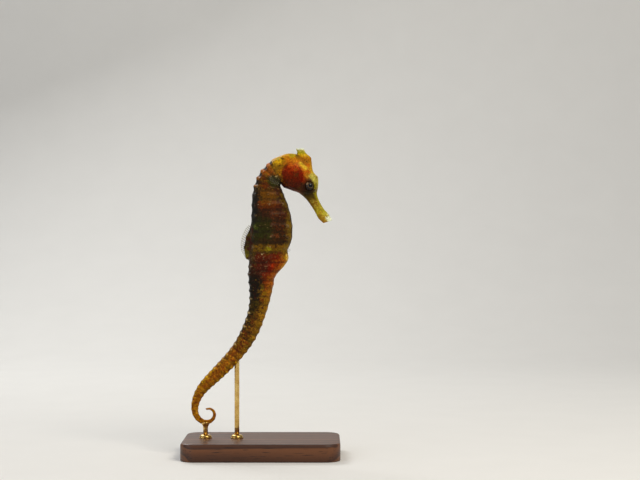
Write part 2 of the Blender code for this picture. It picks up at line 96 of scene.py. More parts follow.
def writeMesh(name, points, faces, fields=None, uv=None):
    # points in millimetres; faces a list of arrays of corner indices; fields go on points
    mesh = bpy.data.meshes.new(name)
    flat = [face for block in faces for face in np.asarray(block).tolist()]
    mesh.from_pydata((np.asarray(points) * mm).tolist(), [], flat)
    for key, values in (fields or {}).items():
        layer = mesh.attributes.new(key, "FLOAT", "POINT")
        layer.data.foreach_set("value", np.asarray(values, np.float32).ravel())
    if uv is not None:
        mesh.uv_layers.new(name="OFBake").data.foreach_set("uv", np.asarray(uv, np.float32).ravel())
    mesh.polygons.foreach_set("use_smooth", np.ones(len(mesh.polygons), bool))
    mesh.update()
    piece = bpy.data.objects.new(name, mesh)
    bpy.context.scene.collection.objects.link(piece)
    return piece


def endFan(middle, row, forward):
    # triangles from a middle point to each two neighbours of a closed row
    onward = np.roll(row, -1)
    return np.stack((np.full(len(row), middle), *((row, onward) if forward else (onward, row))), axis=1)


def tubeMesh(name, grid, fields=None):
    # a closed tube from rows of points, each end closed by a fan to the middle of its row
    rows, columns = grid.shape[:2]
    faces, _ = gridFaces(rows, columns)
    first, middle = np.arange(columns), rows * columns
    fans = endFan(middle, first, False), endFan(middle + 1, first + middle - columns, True)
    points = np.vstack((grid.reshape(-1, 3), grid[0].mean(axis=0), grid[-1].mean(axis=0)))
    full = {key: np.concatenate((value.ravel(), (value[0].mean(), value[-1].mean())))
            for key, value in (fields or {}).items()}
    return writeMesh(name, points, (faces, *fans), full)


def sheetMesh(name, grid, half, fields):
    # a thin closed sheet: the grid set off by `half` to both sides, joined round its rim
    rows, columns = grid.shape[:2]
    normal = np.cross(np.gradient(grid, axis=0), np.gradient(grid, axis=1))
    normal = normal / np.maximum(np.linalg.norm(normal, axis=2, keepdims=True), 1e-9)
    shift = normal * half[..., None]
    points = np.concatenate(((grid + shift).reshape(-1, 3), (grid - shift).reshape(-1, 3)))
    front, _ = gridFaces(rows, columns, closed=False)
    count = rows * columns
    index = np.arange(count).reshape(rows, columns)
    rim = np.concatenate((index[0, :-1], index[:-1, -1], index[-1, :0:-1], index[:0:-1, 0]))
    onward = np.roll(rim, -1)
    side = np.stack((onward, onward + count, rim + count, rim), axis=1)
    full = {key: np.tile(value.ravel(), 2) for key, value in fields.items()}
    return writeMesh(name, points, (front[:, ::-1], front + count, side), full)


def turnedGrid(profile, centre, columns):
    # profile rows of (radius, height) carried round an upright axis through centre
    profile = np.asarray(profile, float)
    angle = np.arange(columns) * 2 * np.pi / columns
    return np.stack((centre[0] + profile[:, :1] * np.cos(angle), centre[1] + profile[:, :1] * np.sin(angle),
                     profile[:, 1:] + 0 * angle), axis=2)


# materials

def linear(hexColour):
    # an sRGB hex value as linear light
    value = np.array([int(hexColour[i:i + 2], 16) for i in (1, 3, 5)]) / 255
    value = np.where(value <= 0.04045, value / 12.92, ((value + 0.055) / 1.055) ** 2.4)
    return (*value.tolist(), 1.0)


def addNode(tree, kind, links=None, give=0, **settings):
    # one node with its settings; links gives an input a plain value or another node's output, and
    # `give` is the output that comes back, or None for all of them
    node = tree.nodes.new("ShaderNode" + kind)
    for key, value in settings.items():
        setattr(node, key, value)
    for key, value in (links or {}).items():
        if isinstance(value, bpy.types.NodeSocket):
            tree.links.new(value, node.inputs[key])
        else:
            node.inputs[key].default_value = value
    return node.outputs if give is None else node.outputs[give]


def newMaterial(name, **values):
    # a Principled material with these uniform values on its own sockets
    material = bpy.data.materials.new(name)
    material.use_nodes = True
    shader = material.node_tree.nodes["Principled BSDF"]
    for key, value in values.items():
        shader.inputs[key.replace("_", " ")].default_value = value
    return material, material.node_tree, shader


def finishMaterial(material, shader, **outputs):
    # joins the last outputs of a material to its shader
    for key, output in outputs.items():
        material.node_tree.links.new(output, shader.inputs[key.replace("_", " ")])
    return material


def perMetre(size):
    # texture scale of a pattern that repeats every `size` millimetres
    return 1000.0 / size


def maskOf(tree, *parts):
    # product of its parts: a number or an output counts as it is, (value, off, on) is a soft step
    # from one to the other, and (value, low, high, soft) a band that fades over `soft` beyond it
    result = None
    for part in parts:
        steps = [part]
        if isinstance(part, tuple):
            value, low, high, *soft = part
            ends = [(low - soft[0], low), (high + soft[0], high)] if soft else [(low, high)]
            steps = [addNode(tree, "MapRange", {"Value": value, "From Min": off, "From Max": on},
                             interpolation_type="SMOOTHSTEP", clamp=False) for off, on in ends]
        for step in steps:
            if result is not None:
                step = addNode(tree, "Math", {0: result, 1: step}, operation="MULTIPLY")
            result = step
    return result


def paintOver(tree, colour, *coats):
    # lays each coat over what is there: a hex value or an output, then the parts of its mask
    for coat, *parts in coats:
        coat = linear(coat) if isinstance(coat, str) else coat
        colour = addNode(tree, "Mix", {0: maskOf(tree, *parts), 6: colour, 7: coat}, 2, data_type="RGBA")
    return colour


def colourAlong(tree, value, stops):
    # colours at the stops' values, blended between them
    low, high = stops[0][0], stops[-1][0]
    share = addNode(tree, "MapRange", {"Value": value, "From Min": low, "From Max": high}, clamp=False)
    colour = addNode(tree, "ValToRGB", {"Fac": share})
    elements = colour.node.color_ramp.elements
    for number, (place, tint) in enumerate((stops[0], stops[-1], *stops[1:-1])):
        at = (place - low) / (high - low)
        element = elements.new(at) if number > 1 else elements[number]
        element.position, element.color = at, linear(tint)
    return colour


# the body

bodyShape = {
    # ring, back or upper edge (x, z), belly or lower edge (x, z), half width
    "sections": (
        (-9.0, 32.3, 108.6, 28.0, 107.2, 1.7), (-8.4, 30.7, 111.0, 26.5, 108.5, 1.95),
        (-7.2, 28.5, 113.5, 24.4, 112.1, 1.75), (-6.0, 26.3, 117.4, 21.9, 116.0, 1.8),
        (-5.0, 25.4, 120.5, 19.4, 118.9, 2.5), (-4.2, 25.9, 123.7, 16.7, 120.9, 3.9),
        (-3.6, 25.9, 127.4, 14.6, 121.6, 4.7), (-2.9, 23.7, 130.6, 12.6, 122.4, 5.0),
        (-2.2, 22.4, 134.8, 11.0, 122.9, 5.3), (-1.3, 17.4, 138.2, 10.0, 123.4, 5.5),
        (-0.6, 11.6, 138.8, 9.4, 124.1, 5.1), (0.0, 6.1, 136.7, 8.9, 124.7, 4.7),
        (1.0, 2.9, 133.8, 8.7, 124.5, 4.55), (2.0, 0.1, 131.0, 8.6, 124.1, 4.6),
        (3.0, -1.9, 127.6, 8.7, 123.5, 4.8), (4.0, -3.2, 123.7, 9.2, 122.3, 5.0),
        (5.0, -4.2, 119.6, 10.1, 120.0, 5.3), (6.5, -4.5, 112.7, 12.6, 113.1, 5.9),
        (8.0, -4.9, 105.5, 14.0, 105.5, 6.2), (9.5, -5.5, 98.2, 13.4, 98.0, 6.1),
        (10.3, -5.8, 94.3, 11.9, 94.4, 5.8), (11.0, -5.8, 90.8, 12.3, 90.9, 5.5),
        (12.0, -5.9, 86.9, 10.3, 87.1, 5.2),
    ),
    "lips": -9.0, "tailRoot": 13.0, "tailTip": 46.0,
    "tailStart": (0.1, 83.0),
    # distance down the tail, swing back from straight down, half depth
    "tail": (
        (0.0, 4.0, 6.2), (9.0, 6.0, 4.9), (17.0, 15.5, 4.1), (27.0, 25.5, 3.85), (38.0, 38.5, 3.35),
        (50.0, 45.0, 3.1), (58.5, 43.0, 2.65), (65.0, 25.5, 2.05), (71.0, 0.0, 1.55),
        (78.0, -64.0, 1.12), (85.0, -165.0, 0.74), (91.0, -290.0, 0.42),
    ),
    "ringAtRoot": 3.87, "ringAtTip": 1.65, "tailWidth": 0.82,
    # power of the section on the head, and what trunk and tail add to it between these rings
    "power": (2.1, 0.25, 0.95), "trunkFrom": (2.0, 6.0), "tailFrom": (9.5, 13.0), "trunkFuller": 0.16,
    # fleshy foot of the dorsal fin, from its upper end
    "dorsalFlesh": ((-5.2, 104.9), (-6.8, 101.3), (-7.8, 97.4), (-7.9, 93.6), (-6.9, 90.6)),
    "fleshEnds": ((-5.9, 89.4), (-4.9, 106.1)), "fleshHeights": (90.6, 104.6, 0.9), "fleshWidth": 0.95,
    # points round the body, and the distance between rows on head, trunk and root of the tail,
    # with how much closer they get towards its tip
    "columns": 152, "rowSteps": (0.24, 0.28, 0.29, 0.13), "closerOnBack": 0.4,
    "crowded": (0.12, 0.55),     # rows this share of the usual distance apart carry no relief, or all
}


def tailSections():
    # walks down the tail in small steps, turning by the swing, and reads a section at each ring
    steps = 40
    root, tip = bodyShape["tailRoot"], bodyShape["tailTip"]
    first, last = bodyShape["ringAtRoot"], bodyShape["ringAtTip"]
    ring = np.linspace(root, tip, int(tip - root) * steps + 1)
    pace = first + (last - first) * (ring - root) / (tip - root)
    walked = np.concatenate(([0.0], np.cumsum((pace[1:] + pace[:-1]) / 2 * np.diff(ring))))
    distance, swing, depth = np.array(bodyShape["tail"]).T
    swing = np.radians(smoothCurve(walked, distance, swing)[:, 0])
    depth = smoothCurve(walked, distance, depth)
    ahead = np.column_stack((-np.sin(swing), -np.cos(swing)))
    moves = (ahead[1:] + ahead[:-1]) / 2 * np.diff(walked)[:, None]
    centre = np.vstack((np.zeros(2), np.cumsum(moves, axis=0))) + bodyShape["tailStart"]
    belly = np.column_stack((np.cos(swing), -np.sin(swing)))
    edges = centre - belly * depth, centre + belly * depth
    return np.hstack((ring[:, None], *edges, depth * bodyShape["tailWidth"]))[::steps]


sectionTable = np.vstack((np.array(bodyShape["sections"]), tailSections()))


def outline(ring):
    # back edge, belly edge and half width at any array of ring numbers
    found = smoothCurve(np.ravel(ring), sectionTable[:, 0], sectionTable[:, 1:])
    found = found.reshape(*np.shape(ring), 5)
    return found[..., 0:2], found[..., 2:4], found[..., 4]


def bodySurface(ring, angle):
    # superellipse section between back and belly edge: round on the head, fuller towards the
    # back on the trunk, nearly square on the tail
    back, belly, halfWidth = outline(ring)
    trunk, tail = ease(ring, *bodyShape["trunkFrom"]), ease(ring, *bodyShape["tailFrom"])
    onHead, onTrunk, onTail = bodyShape["power"]
    power = onHead + onTrunk * trunk + onTail * tail
    cosine, sine = np.cos(angle), np.sin(angle)
    size = (np.abs(cosine) ** power + np.abs(sine) ** power) ** (1 / power)
    up, out = cosine / size, sine / size
    out = out * (1 + bodyShape["trunkFuller"] * trunk * (1 - tail) * up)
    middle, reach = (back + belly) / 2, (back - belly) / 2
    return np.stack((middle[..., 0] + reach[..., 0] * up, halfWidth * out,
                     middle[..., 1] + reach[..., 1] * up), axis=-1)


def gridNormals(points):
    # outward normals of a closed tube of points, from the cross product of its two directions
    along = np.gradient(points, axis=0)
    around = np.roll(points, -1, axis=1) - np.roll(points, 1, axis=1)
    normal = np.cross(around, along)
    normal = normal / np.maximum(np.linalg.norm(normal, axis=2, keepdims=True), 1e-9)
    outward = points - points.mean(axis=1, keepdims=True)
    return normal * np.sign(np.sum(normal * outward))


def distanceToPath(points, path):
    # distance in the XZ plane from each point to a chain of straight lines
    flat = points[..., [0, 2]]
    nearest = np.full(flat.shape[:-1], 1e9)
    for start, end in zip(np.array(path[:-1]), np.array(path[1:])):
        line = end - start
        t = np.clip(((flat - start) @ line) / (line @ line), 0, 1)
        nearest = np.minimum(nearest, np.linalg.norm(flat - (start + t[..., None] * line), axis=-1))
    return nearest


plateShape = {
    "starts": (-0.7, 0.2), "ends": (44.0, 46.0),       # rings over which the plates come and go
    # where they fade: rings from, to, soft; degrees from the back; how much
    "smooth": (
        ((10.6, 12.4, 0.7), (95.0, 125.0), 0.85),      # pouch
        ((-20.0, 12.0, 2.0), (148.0, 170.0), 0.75),    # belly of the trunk
        ((12.0, 17.0, 2.0), (110.0, 140.0), 0.55),     # below the pouch
    ),
    # degrees from the back at which a ridge runs along the trunk, and those that go on down the tail
    "ridges": (45.0, 90.0, 135.0, 180.0), "tailRidges": (45.0, 135.0),
    # heights as shares of trunkSize on the trunk and of the half width on the tail, and what the
    # tail adds
    "crest": (0.038, 0.02), "swell": (0.016, 0.028), "knob": (0.055, 0.065),
    "ridge": (0.026, 0.012),                           # between the rings, and more on them
    "ridgeWide": (5.5, 4.0), "knobWide": (7.5, 5.0),   # degrees
    "crestWide": 0.17,                                 # rings
    "knobSpread": (0.55, 1.25), "bigKnob": 1.35,       # uneven size; every fourth is bigger
    # beads: millimetres high, how many to a turn, and the degrees from the back where they start
    "bead": 0.1, "beadCount": 26, "beadFrom": (14.0, 26.0),
    "nape": ((0.0, 0.38, 32.0), (70.0, 0.04, 30.0)),   # folds: degrees, millimetres, width in degrees
    "napeRings": (0.6, 4.4, 0.6), "tailFrom": (11.0, 14.0), "trunkSize": 5.0,
}


def ringRelief(ring, angle, halfWidth):
    # bony rings, the ridges that run along the body, and a knob where the two cross
    shape = plateShape
    degrees = np.degrees(np.minimum(angle, 2 * np.pi - angle))
    side = (angle > np.pi).astype(int)
    nearest = np.rint(ring)
    crest = bell(ring - nearest, shape["crestWide"])
    swell = 0.5 + 0.5 * np.cos(2 * np.pi * ring)
    tail = ease(ring, *shape["tailFrom"])

    # the plates fade on the head, the pouch, the belly of the trunk and the last of the tail
    armour = ease(ring, *shape["starts"]) * (1 - ease(ring, *shape["ends"]))
    for rings, flank, much in shape["smooth"]:
        armour = armour * (1 - much * window(ring, *rings) * ease(degrees, *flank))

    nape = window(ring, *shape["napeRings"])
    size = np.where(tail > 0, halfWidth, shape["trunkSize"])
    (crestHigh, crestMore), (swellHigh, swellMore) = shape["crest"], shape["swell"]
    high = armour * size * (crestHigh * crest + swellHigh * swell
                            + tail * (crestMore * crest + swellMore * (swell - 0.5)))
    folds = [much * bell(degrees - centre, wide) for centre, much, wide in shape["nape"]]
    high = high + armour * nape * swell * (folds[0] + folds[1])
    # a row of small beads along each trunk ring
    bead = 0.5 + 0.5 * np.cos(np.radians(degrees) * shape["beadCount"] + 2.1 * nearest)
    beads = crest * shape["bead"] * bead * ease(degrees, *shape["beadFrom"])
    high = high + armour * (1 - tail) * (1 - nape) * beads

    knobs = np.zeros(np.shape(high))
    ridgeWide, knobWide, knobHigh = (shape[key][0] + shape[key][1] * tail
                                     for key in ("ridgeWide", "knobWide", "knob"))
    for centre in shape["ridges"]:
        present = (1 - tail) + tail * float(centre in shape["tailRidges"])
        spread = rng.uniform(*shape["knobSpread"], (60, 2))
        spread[::4] *= shape["bigKnob"]
        lump = spread[nearest.astype(int) % 60, side]
        knob = crest * bell(degrees - centre, knobWide) * lump * present * armour
        across = bell(degrees - centre, ridgeWide)
        high = high + size * across * present * armour * (shape["ridge"][0] + shape["ridge"][1] * swell)
        high = high + size * knob * knobHigh
        knobs = np.maximum(knobs, knob)
    return high, swell, knobs


headShape = {
    "eye": (21.9, 3.4, 123.75), "eyeRadius": 2.15,
    # centre on one side, radius, height
    "swellings": (
        ((13.6, 5.2, 129.2), 4.0, 0.75),     # gill cover
        ((24.6, 2.4, 127.8), 1.3, 0.6),      # spine over the eye
        ((7.0, 3.4, 134.2), 1.6, 0.35),      # shoulder of the nape
        ((7.3, 4.6, 128.3), 0.9, 0.35),      # pad that carries the pectoral fin
    ),
    # path, half width, height
    "keels": (
        (((17.2, 136.2), (19.9, 132.2), (23.0, 128.2), (24.9, 127.6)), 0.75, 0.42),    # brow
        (((20.2, 120.9), (16.0, 122.6), (12.0, 124.6)), 0.7, 0.2),                     # cheek
    ),
    # yellow streak of the brow: its path, its half width at the top and what it gains further
    # down, and the two heights between which it gains it
    "browStreak": ((17.6, 134.4), (19.3, 132.8), (20.3, 131.7)), "browWide": (0.55, 0.45),
    "browWidens": (135.0, 132.2),
    "cheekReach": 1.6,                                 # red of the cheek, as a share of the gill cover
    # rings over which the shapes of the head fade out and those of the bony rings fade in
    "ends": (0.6, 1.6), "ringsFrom": (-0.6, 0.4),
    "flank": (0.8, 2.4),                               # distance from the middle where it begins
    "gill": (14.5, 128.5), "gillLong": 6.0, "gillShort": 5.0, "gillTilt": 100.0, "gillOpen": (-2.5, 2.0),
    # groove and lip: height, place and width as shares of the gill cover; then its fine rays
    "groove": (-0.16, 1.0, 0.08), "lip": (0.08, 0.84, 0.12),
    "gillRays": 24, "gillRayHigh": 0.035, "gillRayPlace": (0.3, 0.8, 0.15),
    # turret round the eye: how far out it stands, its rim (height, distance from the eye, width),
    # how steeply and from where it falls away, and where it ends
    "turretOut": 0.72, "turretRim": (0.16, 2.35, 0.35), "turretFall": (0.62, 2.45), "turretEnd": (3.0, 3.9),
    "turretSoft": 0.35, "turretFlank": (0.9, 1.8), "socket": (-2.1, -1.55), "socketDeep": 0.6,
    "rimPaint": (2.2, 0.45),
}


def headRelief(points):
    # ridges, gill cover and brow of the head, from distances seen from the side
    shape = headShape
    high = np.zeros(points.shape[:-1])
    for (x, y, z), radius, height in shape["swellings"]:
        for flank in (y, -y):
            away = np.linalg.norm(points - np.array((x, flank, z)), axis=-1)
            high = high + height * bell(away, radius)
    lateral = ease(np.abs(points[..., 1]), *shape["flank"])
    for path, wide, height in shape["keels"]:
        high = high + height * lateral * bell(distanceToPath(points, path), wide)
    turn = np.radians(shape["gillTilt"])
    dx, dz = points[..., 0] - shape["gill"][0], points[..., 2] - shape["gill"][1]
    along = (dx * np.cos(turn) + dz * np.sin(turn)) / shape["gillLong"]
    across = (-dx * np.sin(turn) + dz * np.cos(turn)) / shape["gillShort"]
    reach, bearing = np.hypot(along, across), np.arctan2(across, along)
    behind = ease(-dx, *shape["gillOpen"])        # the margin is open behind and below
    groove, lip = (lateral * behind * bell(reach - at, wide)
                   for _, at, wide in (shape["groove"], shape["lip"]))
    high = high + shape["groove"][0] * groove + shape["lip"][0] * lip
    rays = shape["gillRayHigh"] * np.cos(shape["gillRays"] * bearing)
    high = high + rays * lateral * window(reach, *shape["gillRayPlace"])
    cheek = lateral * np.clip(shape["cheekReach"] - reach, 0.0, 1.0)
    (narrow, gain), (upper, lower) = shape["browWide"], shape["browWidens"]
    widening = narrow + gain * ease(-points[..., 2], -upper, -lower)
    brow = lateral * bell(distanceToPath(points, shape["browStreak"]) / widening, 1.0)
    return high, groove, cheek, brow


def raiseEyeRims(points):
    # round each eye the skin stands up in a low turret, and inside it sinks behind the eyeball
    shape = headShape
    x, y, z = shape["eye"]
    away = np.hypot(points[..., 0] - x, points[..., 2] - z)
    width = np.abs(points[..., 1])
    onFlank = ease(width, *shape["turretFlank"])
    (rimHigh, rimAt, rimWide), (slope, fallsFrom) = shape["turretRim"], shape["turretFall"]
    target = (y + shape["turretOut"] + rimHigh * bell(away - rimAt, rimWide)
              - slope * np.maximum(away - fallsFrom, 0))
    soft, near = shape["turretSoft"], 1 - ease(away, *shape["turretEnd"])
    lifted = width + soft * np.logaddexp(0, (target - width) / soft) * near * onFlank
    sunk = lifted - ease(-away, *shape["socket"]) * onFlank * (lifted - (y - shape["socketDeep"])).clip(0)
    raised = points.copy()
    raised[..., 1] = np.sign(points[..., 1]) * sunk
    paintAt, paintWide = shape["rimPaint"]
    return raised, bell(away - paintAt, paintWide) * onFlank


def finKeel(points, ring, angle):
    # the fleshy ridge under the dorsal fin, drawn out of the back
    back, _, _ = outline(ring)
    low, high = bodyShape["fleshEnds"]
    x, z = np.array((low, *bodyShape["dorsalFlesh"][::-1], high)).T
    line = smoothCurve(np.clip(back[..., 1].ravel(), z[0] + 0.1, z[-1] - 0.1), z, x)
    height = np.maximum(back[..., 0] - line.reshape(back.shape[:-1]), 0)
    height = height * window(back[..., 1], *bodyShape["fleshHeights"]) * ease(np.cos(angle), 0.3, 0.6)
    drawn = points.copy()
    drawn[..., 0] -= height * np.exp(-np.abs(points[..., 1] / bodyShape["fleshWidth"]) ** 2.6)
    return drawn


def skinColumns(columns):
    # even angles round the body, less a sine that draws them together along the back
    share = np.arange(columns) / columns
    return 2 * np.pi * share - bodyShape["closerOnBack"] * np.sin(2 * np.pi * share)


def skinRings(low, high, spacing):
    # ring numbers whose rows lie about `spacing` apart where the outline moves most
    fine = np.linspace(low, high, 4001)
    back, belly, _ = outline(fine)
    stride = np.maximum(*(np.linalg.norm(np.diff(edge, axis=0), axis=1) for edge in (back, belly)))
    walked = np.concatenate(([0.0], np.cumsum(stride / spacing(fine[1:]))))
    return np.interp(np.linspace(0, walked[-1], int(walked[-1]) + 1), walked, fine)


def skinGrid(ring, columns):
    # the finished skin over these rings, with the fields that the paint reads
    angle = skinColumns(columns)[None, :] + 0 * ring[:, None]
    ring = ring[:, None] + 0 * angle
    points = finKeel(bodySurface(ring, angle), ring, angle)
    _, _, halfWidth = outline(ring)
    ringHigh, swell, knobs = ringRelief(ring, angle, halfWidth)
    headHigh, groove, cheek, brow = headRelief(points)
    onHead = 1 - ease(ring, *headShape["ends"])
    # rows crowd together in the fold of the throat, so the relief fades there
    stride = np.linalg.norm(np.gradient(points, axis=0), axis=2)
    room = ease(stride / np.median(stride, axis=1, keepdims=True), *bodyShape["crowded"])
    high = (ringHigh * ease(ring, *headShape["ringsFrom"]) + headHigh * onHead) * room
    points = points + gridNormals(points) * high[..., None]
    points, rim = raiseEyeRims(points)
    degrees = np.degrees(np.minimum(angle, 2 * np.pi - angle))
    return points, {"ring": ring, "turn": degrees, "swell": swell, "knob": knobs, "orbit": rim,
                    "groove": groove * onHead * room, "cheek": cheek * onHead, "brow": brow * onHead}


endShape = {
    # height, width and step ahead of each row as the lips roll over and sink to a slit
    "lips": ((0.985, 0.99, 0.16), (0.94, 0.96, 0.32), (0.86, 0.92, 0.42), (0.75, 0.87, 0.45),
             (0.62, 0.82, 0.38), (0.5, 0.77, 0.2), (0.4, 0.72, -0.08), (0.31, 0.67, -0.45),
             (0.24, 0.6, -0.95), (0.18, 0.5, -1.5)),
    "mouthAhead": (0.31, 0.0, -0.95),
    "tailTip": ((0.93, 0.93, 0.12), (0.78, 0.78, 0.22), (0.55, 0.55, 0.3), (0.28, 0.28, 0.35)),
}


def endRows(row, ahead, shape):
    # copies of an end row, narrowed in height and width and moved ahead
    centre = row.mean(axis=0)
    off = row - centre
    side = off * (0, 1, 0)
    return np.array([centre + (off - side) * tall + side * wide + ahead * move for tall, wide, move in shape])


def joinCorners(half):
    # three triangles to a tail column, where two columns of the trunk meet it: for each corner 0
    # on the trunk's last row or 1 on the tail's first, and its column
    column = np.arange(half)
    trunk = [(0, 2 * column + step) for step in range(3)]
    tail = [(1, column + step) for step in range(2)]
    return ((trunk[0], trunk[1], tail[0]), (trunk[1], tail[1], tail[0]), (trunk[1], trunk[2], tail[1]))


def skinPatches(front, rear, naped, columns):
    # faces of the skin, and its flat map: four lengths of the body side by side, each unrolled
    half = columns // 2
    start = front * columns
    end = start + rear * half
    edges = np.array((0, naped, front, front + rear // 2, front + rear))

    def unrolled(row, across, first):
        island = np.clip(np.searchsorted(edges, first, side="right") - 1, 0, 3)
        along = (row - edges[island]) / (edges[island + 1] - edges[island])
        return np.stack((0.5 * (island % 2) + 0.01 + 0.47 * along,
                         0.5 * (island // 2) + 0.01 + 0.47 * across), axis=-1)

    faces, maps = [], []
    for rows, width, row, point in ((front, columns, 0, 0), (rear, half, front, start)):
        block, corners = gridFaces(rows, width, point)
        faces.append(block)
        flat = unrolled(corners[:, 0] + row, corners[:, 1] / width, corners[0, 0] + row)
        maps.append(flat.transpose(1, 0, 2))
    widths, firsts, lastRow = (columns, half), (start - columns, start), np.full(half, front - 1)
    for three in joinCorners(half):
        faces.append(np.stack([firsts[on] + at % widths[on] for on, at in three], axis=1))
        maps.append(unrolled(np.stack([lastRow + on for on, _ in three], axis=1),
                             np.stack([at / widths[on] for on, at in three], axis=1), lastRow[:, None]))
    for last, width, point, row in ((False, columns, 0, 0), (True, half, end - half, front + rear - 1)):
        faces.append(endFan(end + last, point + np.arange(width), last))
        across = np.arange(width)[:, None] + np.array((0.5, 0, 1) if last else (0.5, 1, 0))
        maps.append(unrolled(np.full((width, 3), row), across / width, np.full((width, 3), row)))
    return faces, np.concatenate([block.reshape(-1, 2) for block in maps])


def buildSkin():
    # rows of points from inside the mouth to the tip of the tail, with half the columns on the tail
    shape, columns = bodyShape, bodyShape["columns"]
    lips, root, tip = (shape[key] for key in ("lips", "tailRoot", "tailTip"))
    headStep, trunkStep, rootStep, closer = shape["rowSteps"]
    front = skinRings(lips, root, lambda ring: np.where(ring < 0, headStep, trunkStep))
    rear = skinRings(root, tip, lambda ring: rootStep - closer * (ring - root) / (tip - root))[1:]
    body, fields = skinGrid(front, columns)
    mouth = endRows(body[0], np.array(endShape["mouthAhead"]), endShape["lips"])[::-1]
    grid = np.concatenate((mouth, body))
    fields = {key: np.concatenate((np.repeat(value[:1], len(mouth), axis=0), value))
              for key, value in fields.items()}
    fields["groove"][:len(mouth) - 4] = 1.0       # inside of the mouth, painted dark as shade
    tail, tailFields = skinGrid(rear, columns)
    tail = tail[:, ::2]
    ahead = tail[-1].mean(axis=0) - tail[-2].mean(axis=0)
    close = endRows(tail[-1], ahead / np.linalg.norm(ahead), endShape["tailTip"])
    tail = np.concatenate((tail, close))
    points = np.vstack((grid.reshape(-1, 3), tail.reshape(-1, 3), grid[0].mean(axis=0),
                        tail[-1].mean(axis=0)))
    full = {}
    for key, value in fields.items():
        last = tailFields[key][:, ::2]
        last = np.concatenate((last, np.repeat(last[-1:], len(close), axis=0)))
        full[key] = np.concatenate((value.ravel(), last.ravel(), value[0, :1], last[-1, :1]))
    naped = np.searchsorted(front, 0.0) + len(mouth)
    faces, uv = skinPatches(len(grid), len(tail), naped, columns)
    return writeMesh("skin", points, faces, full, uv), {"rings": front, "grid": body}


def skinAt(head, ring, angle):
    # the skin's point at a ring and an angle, by straight lines between the grid's points
    rings, grid = head["rings"], head["grid"]
    columns = grid.shape[1]
    ring, angle = np.broadcast_arrays(ring, np.mod(angle, 2 * np.pi))
    row = np.interp(ring, rings, np.arange(len(rings)))
    column = np.interp(angle, np.append(skinColumns(columns), 2 * np.pi), np.arange(columns + 1))
    low, left = np.minimum(row.astype(int), len(rings) - 2), column.astype(int)
    down, over = (row - low)[..., None], (column - left)[..., None]
    left, right = left % columns, (left + 1) % columns
    upper, lower = (grid[at, left] * (1 - over) + grid[at, right] * over for at in (low, low + 1))
    return upper * (1 - down) + lower * down
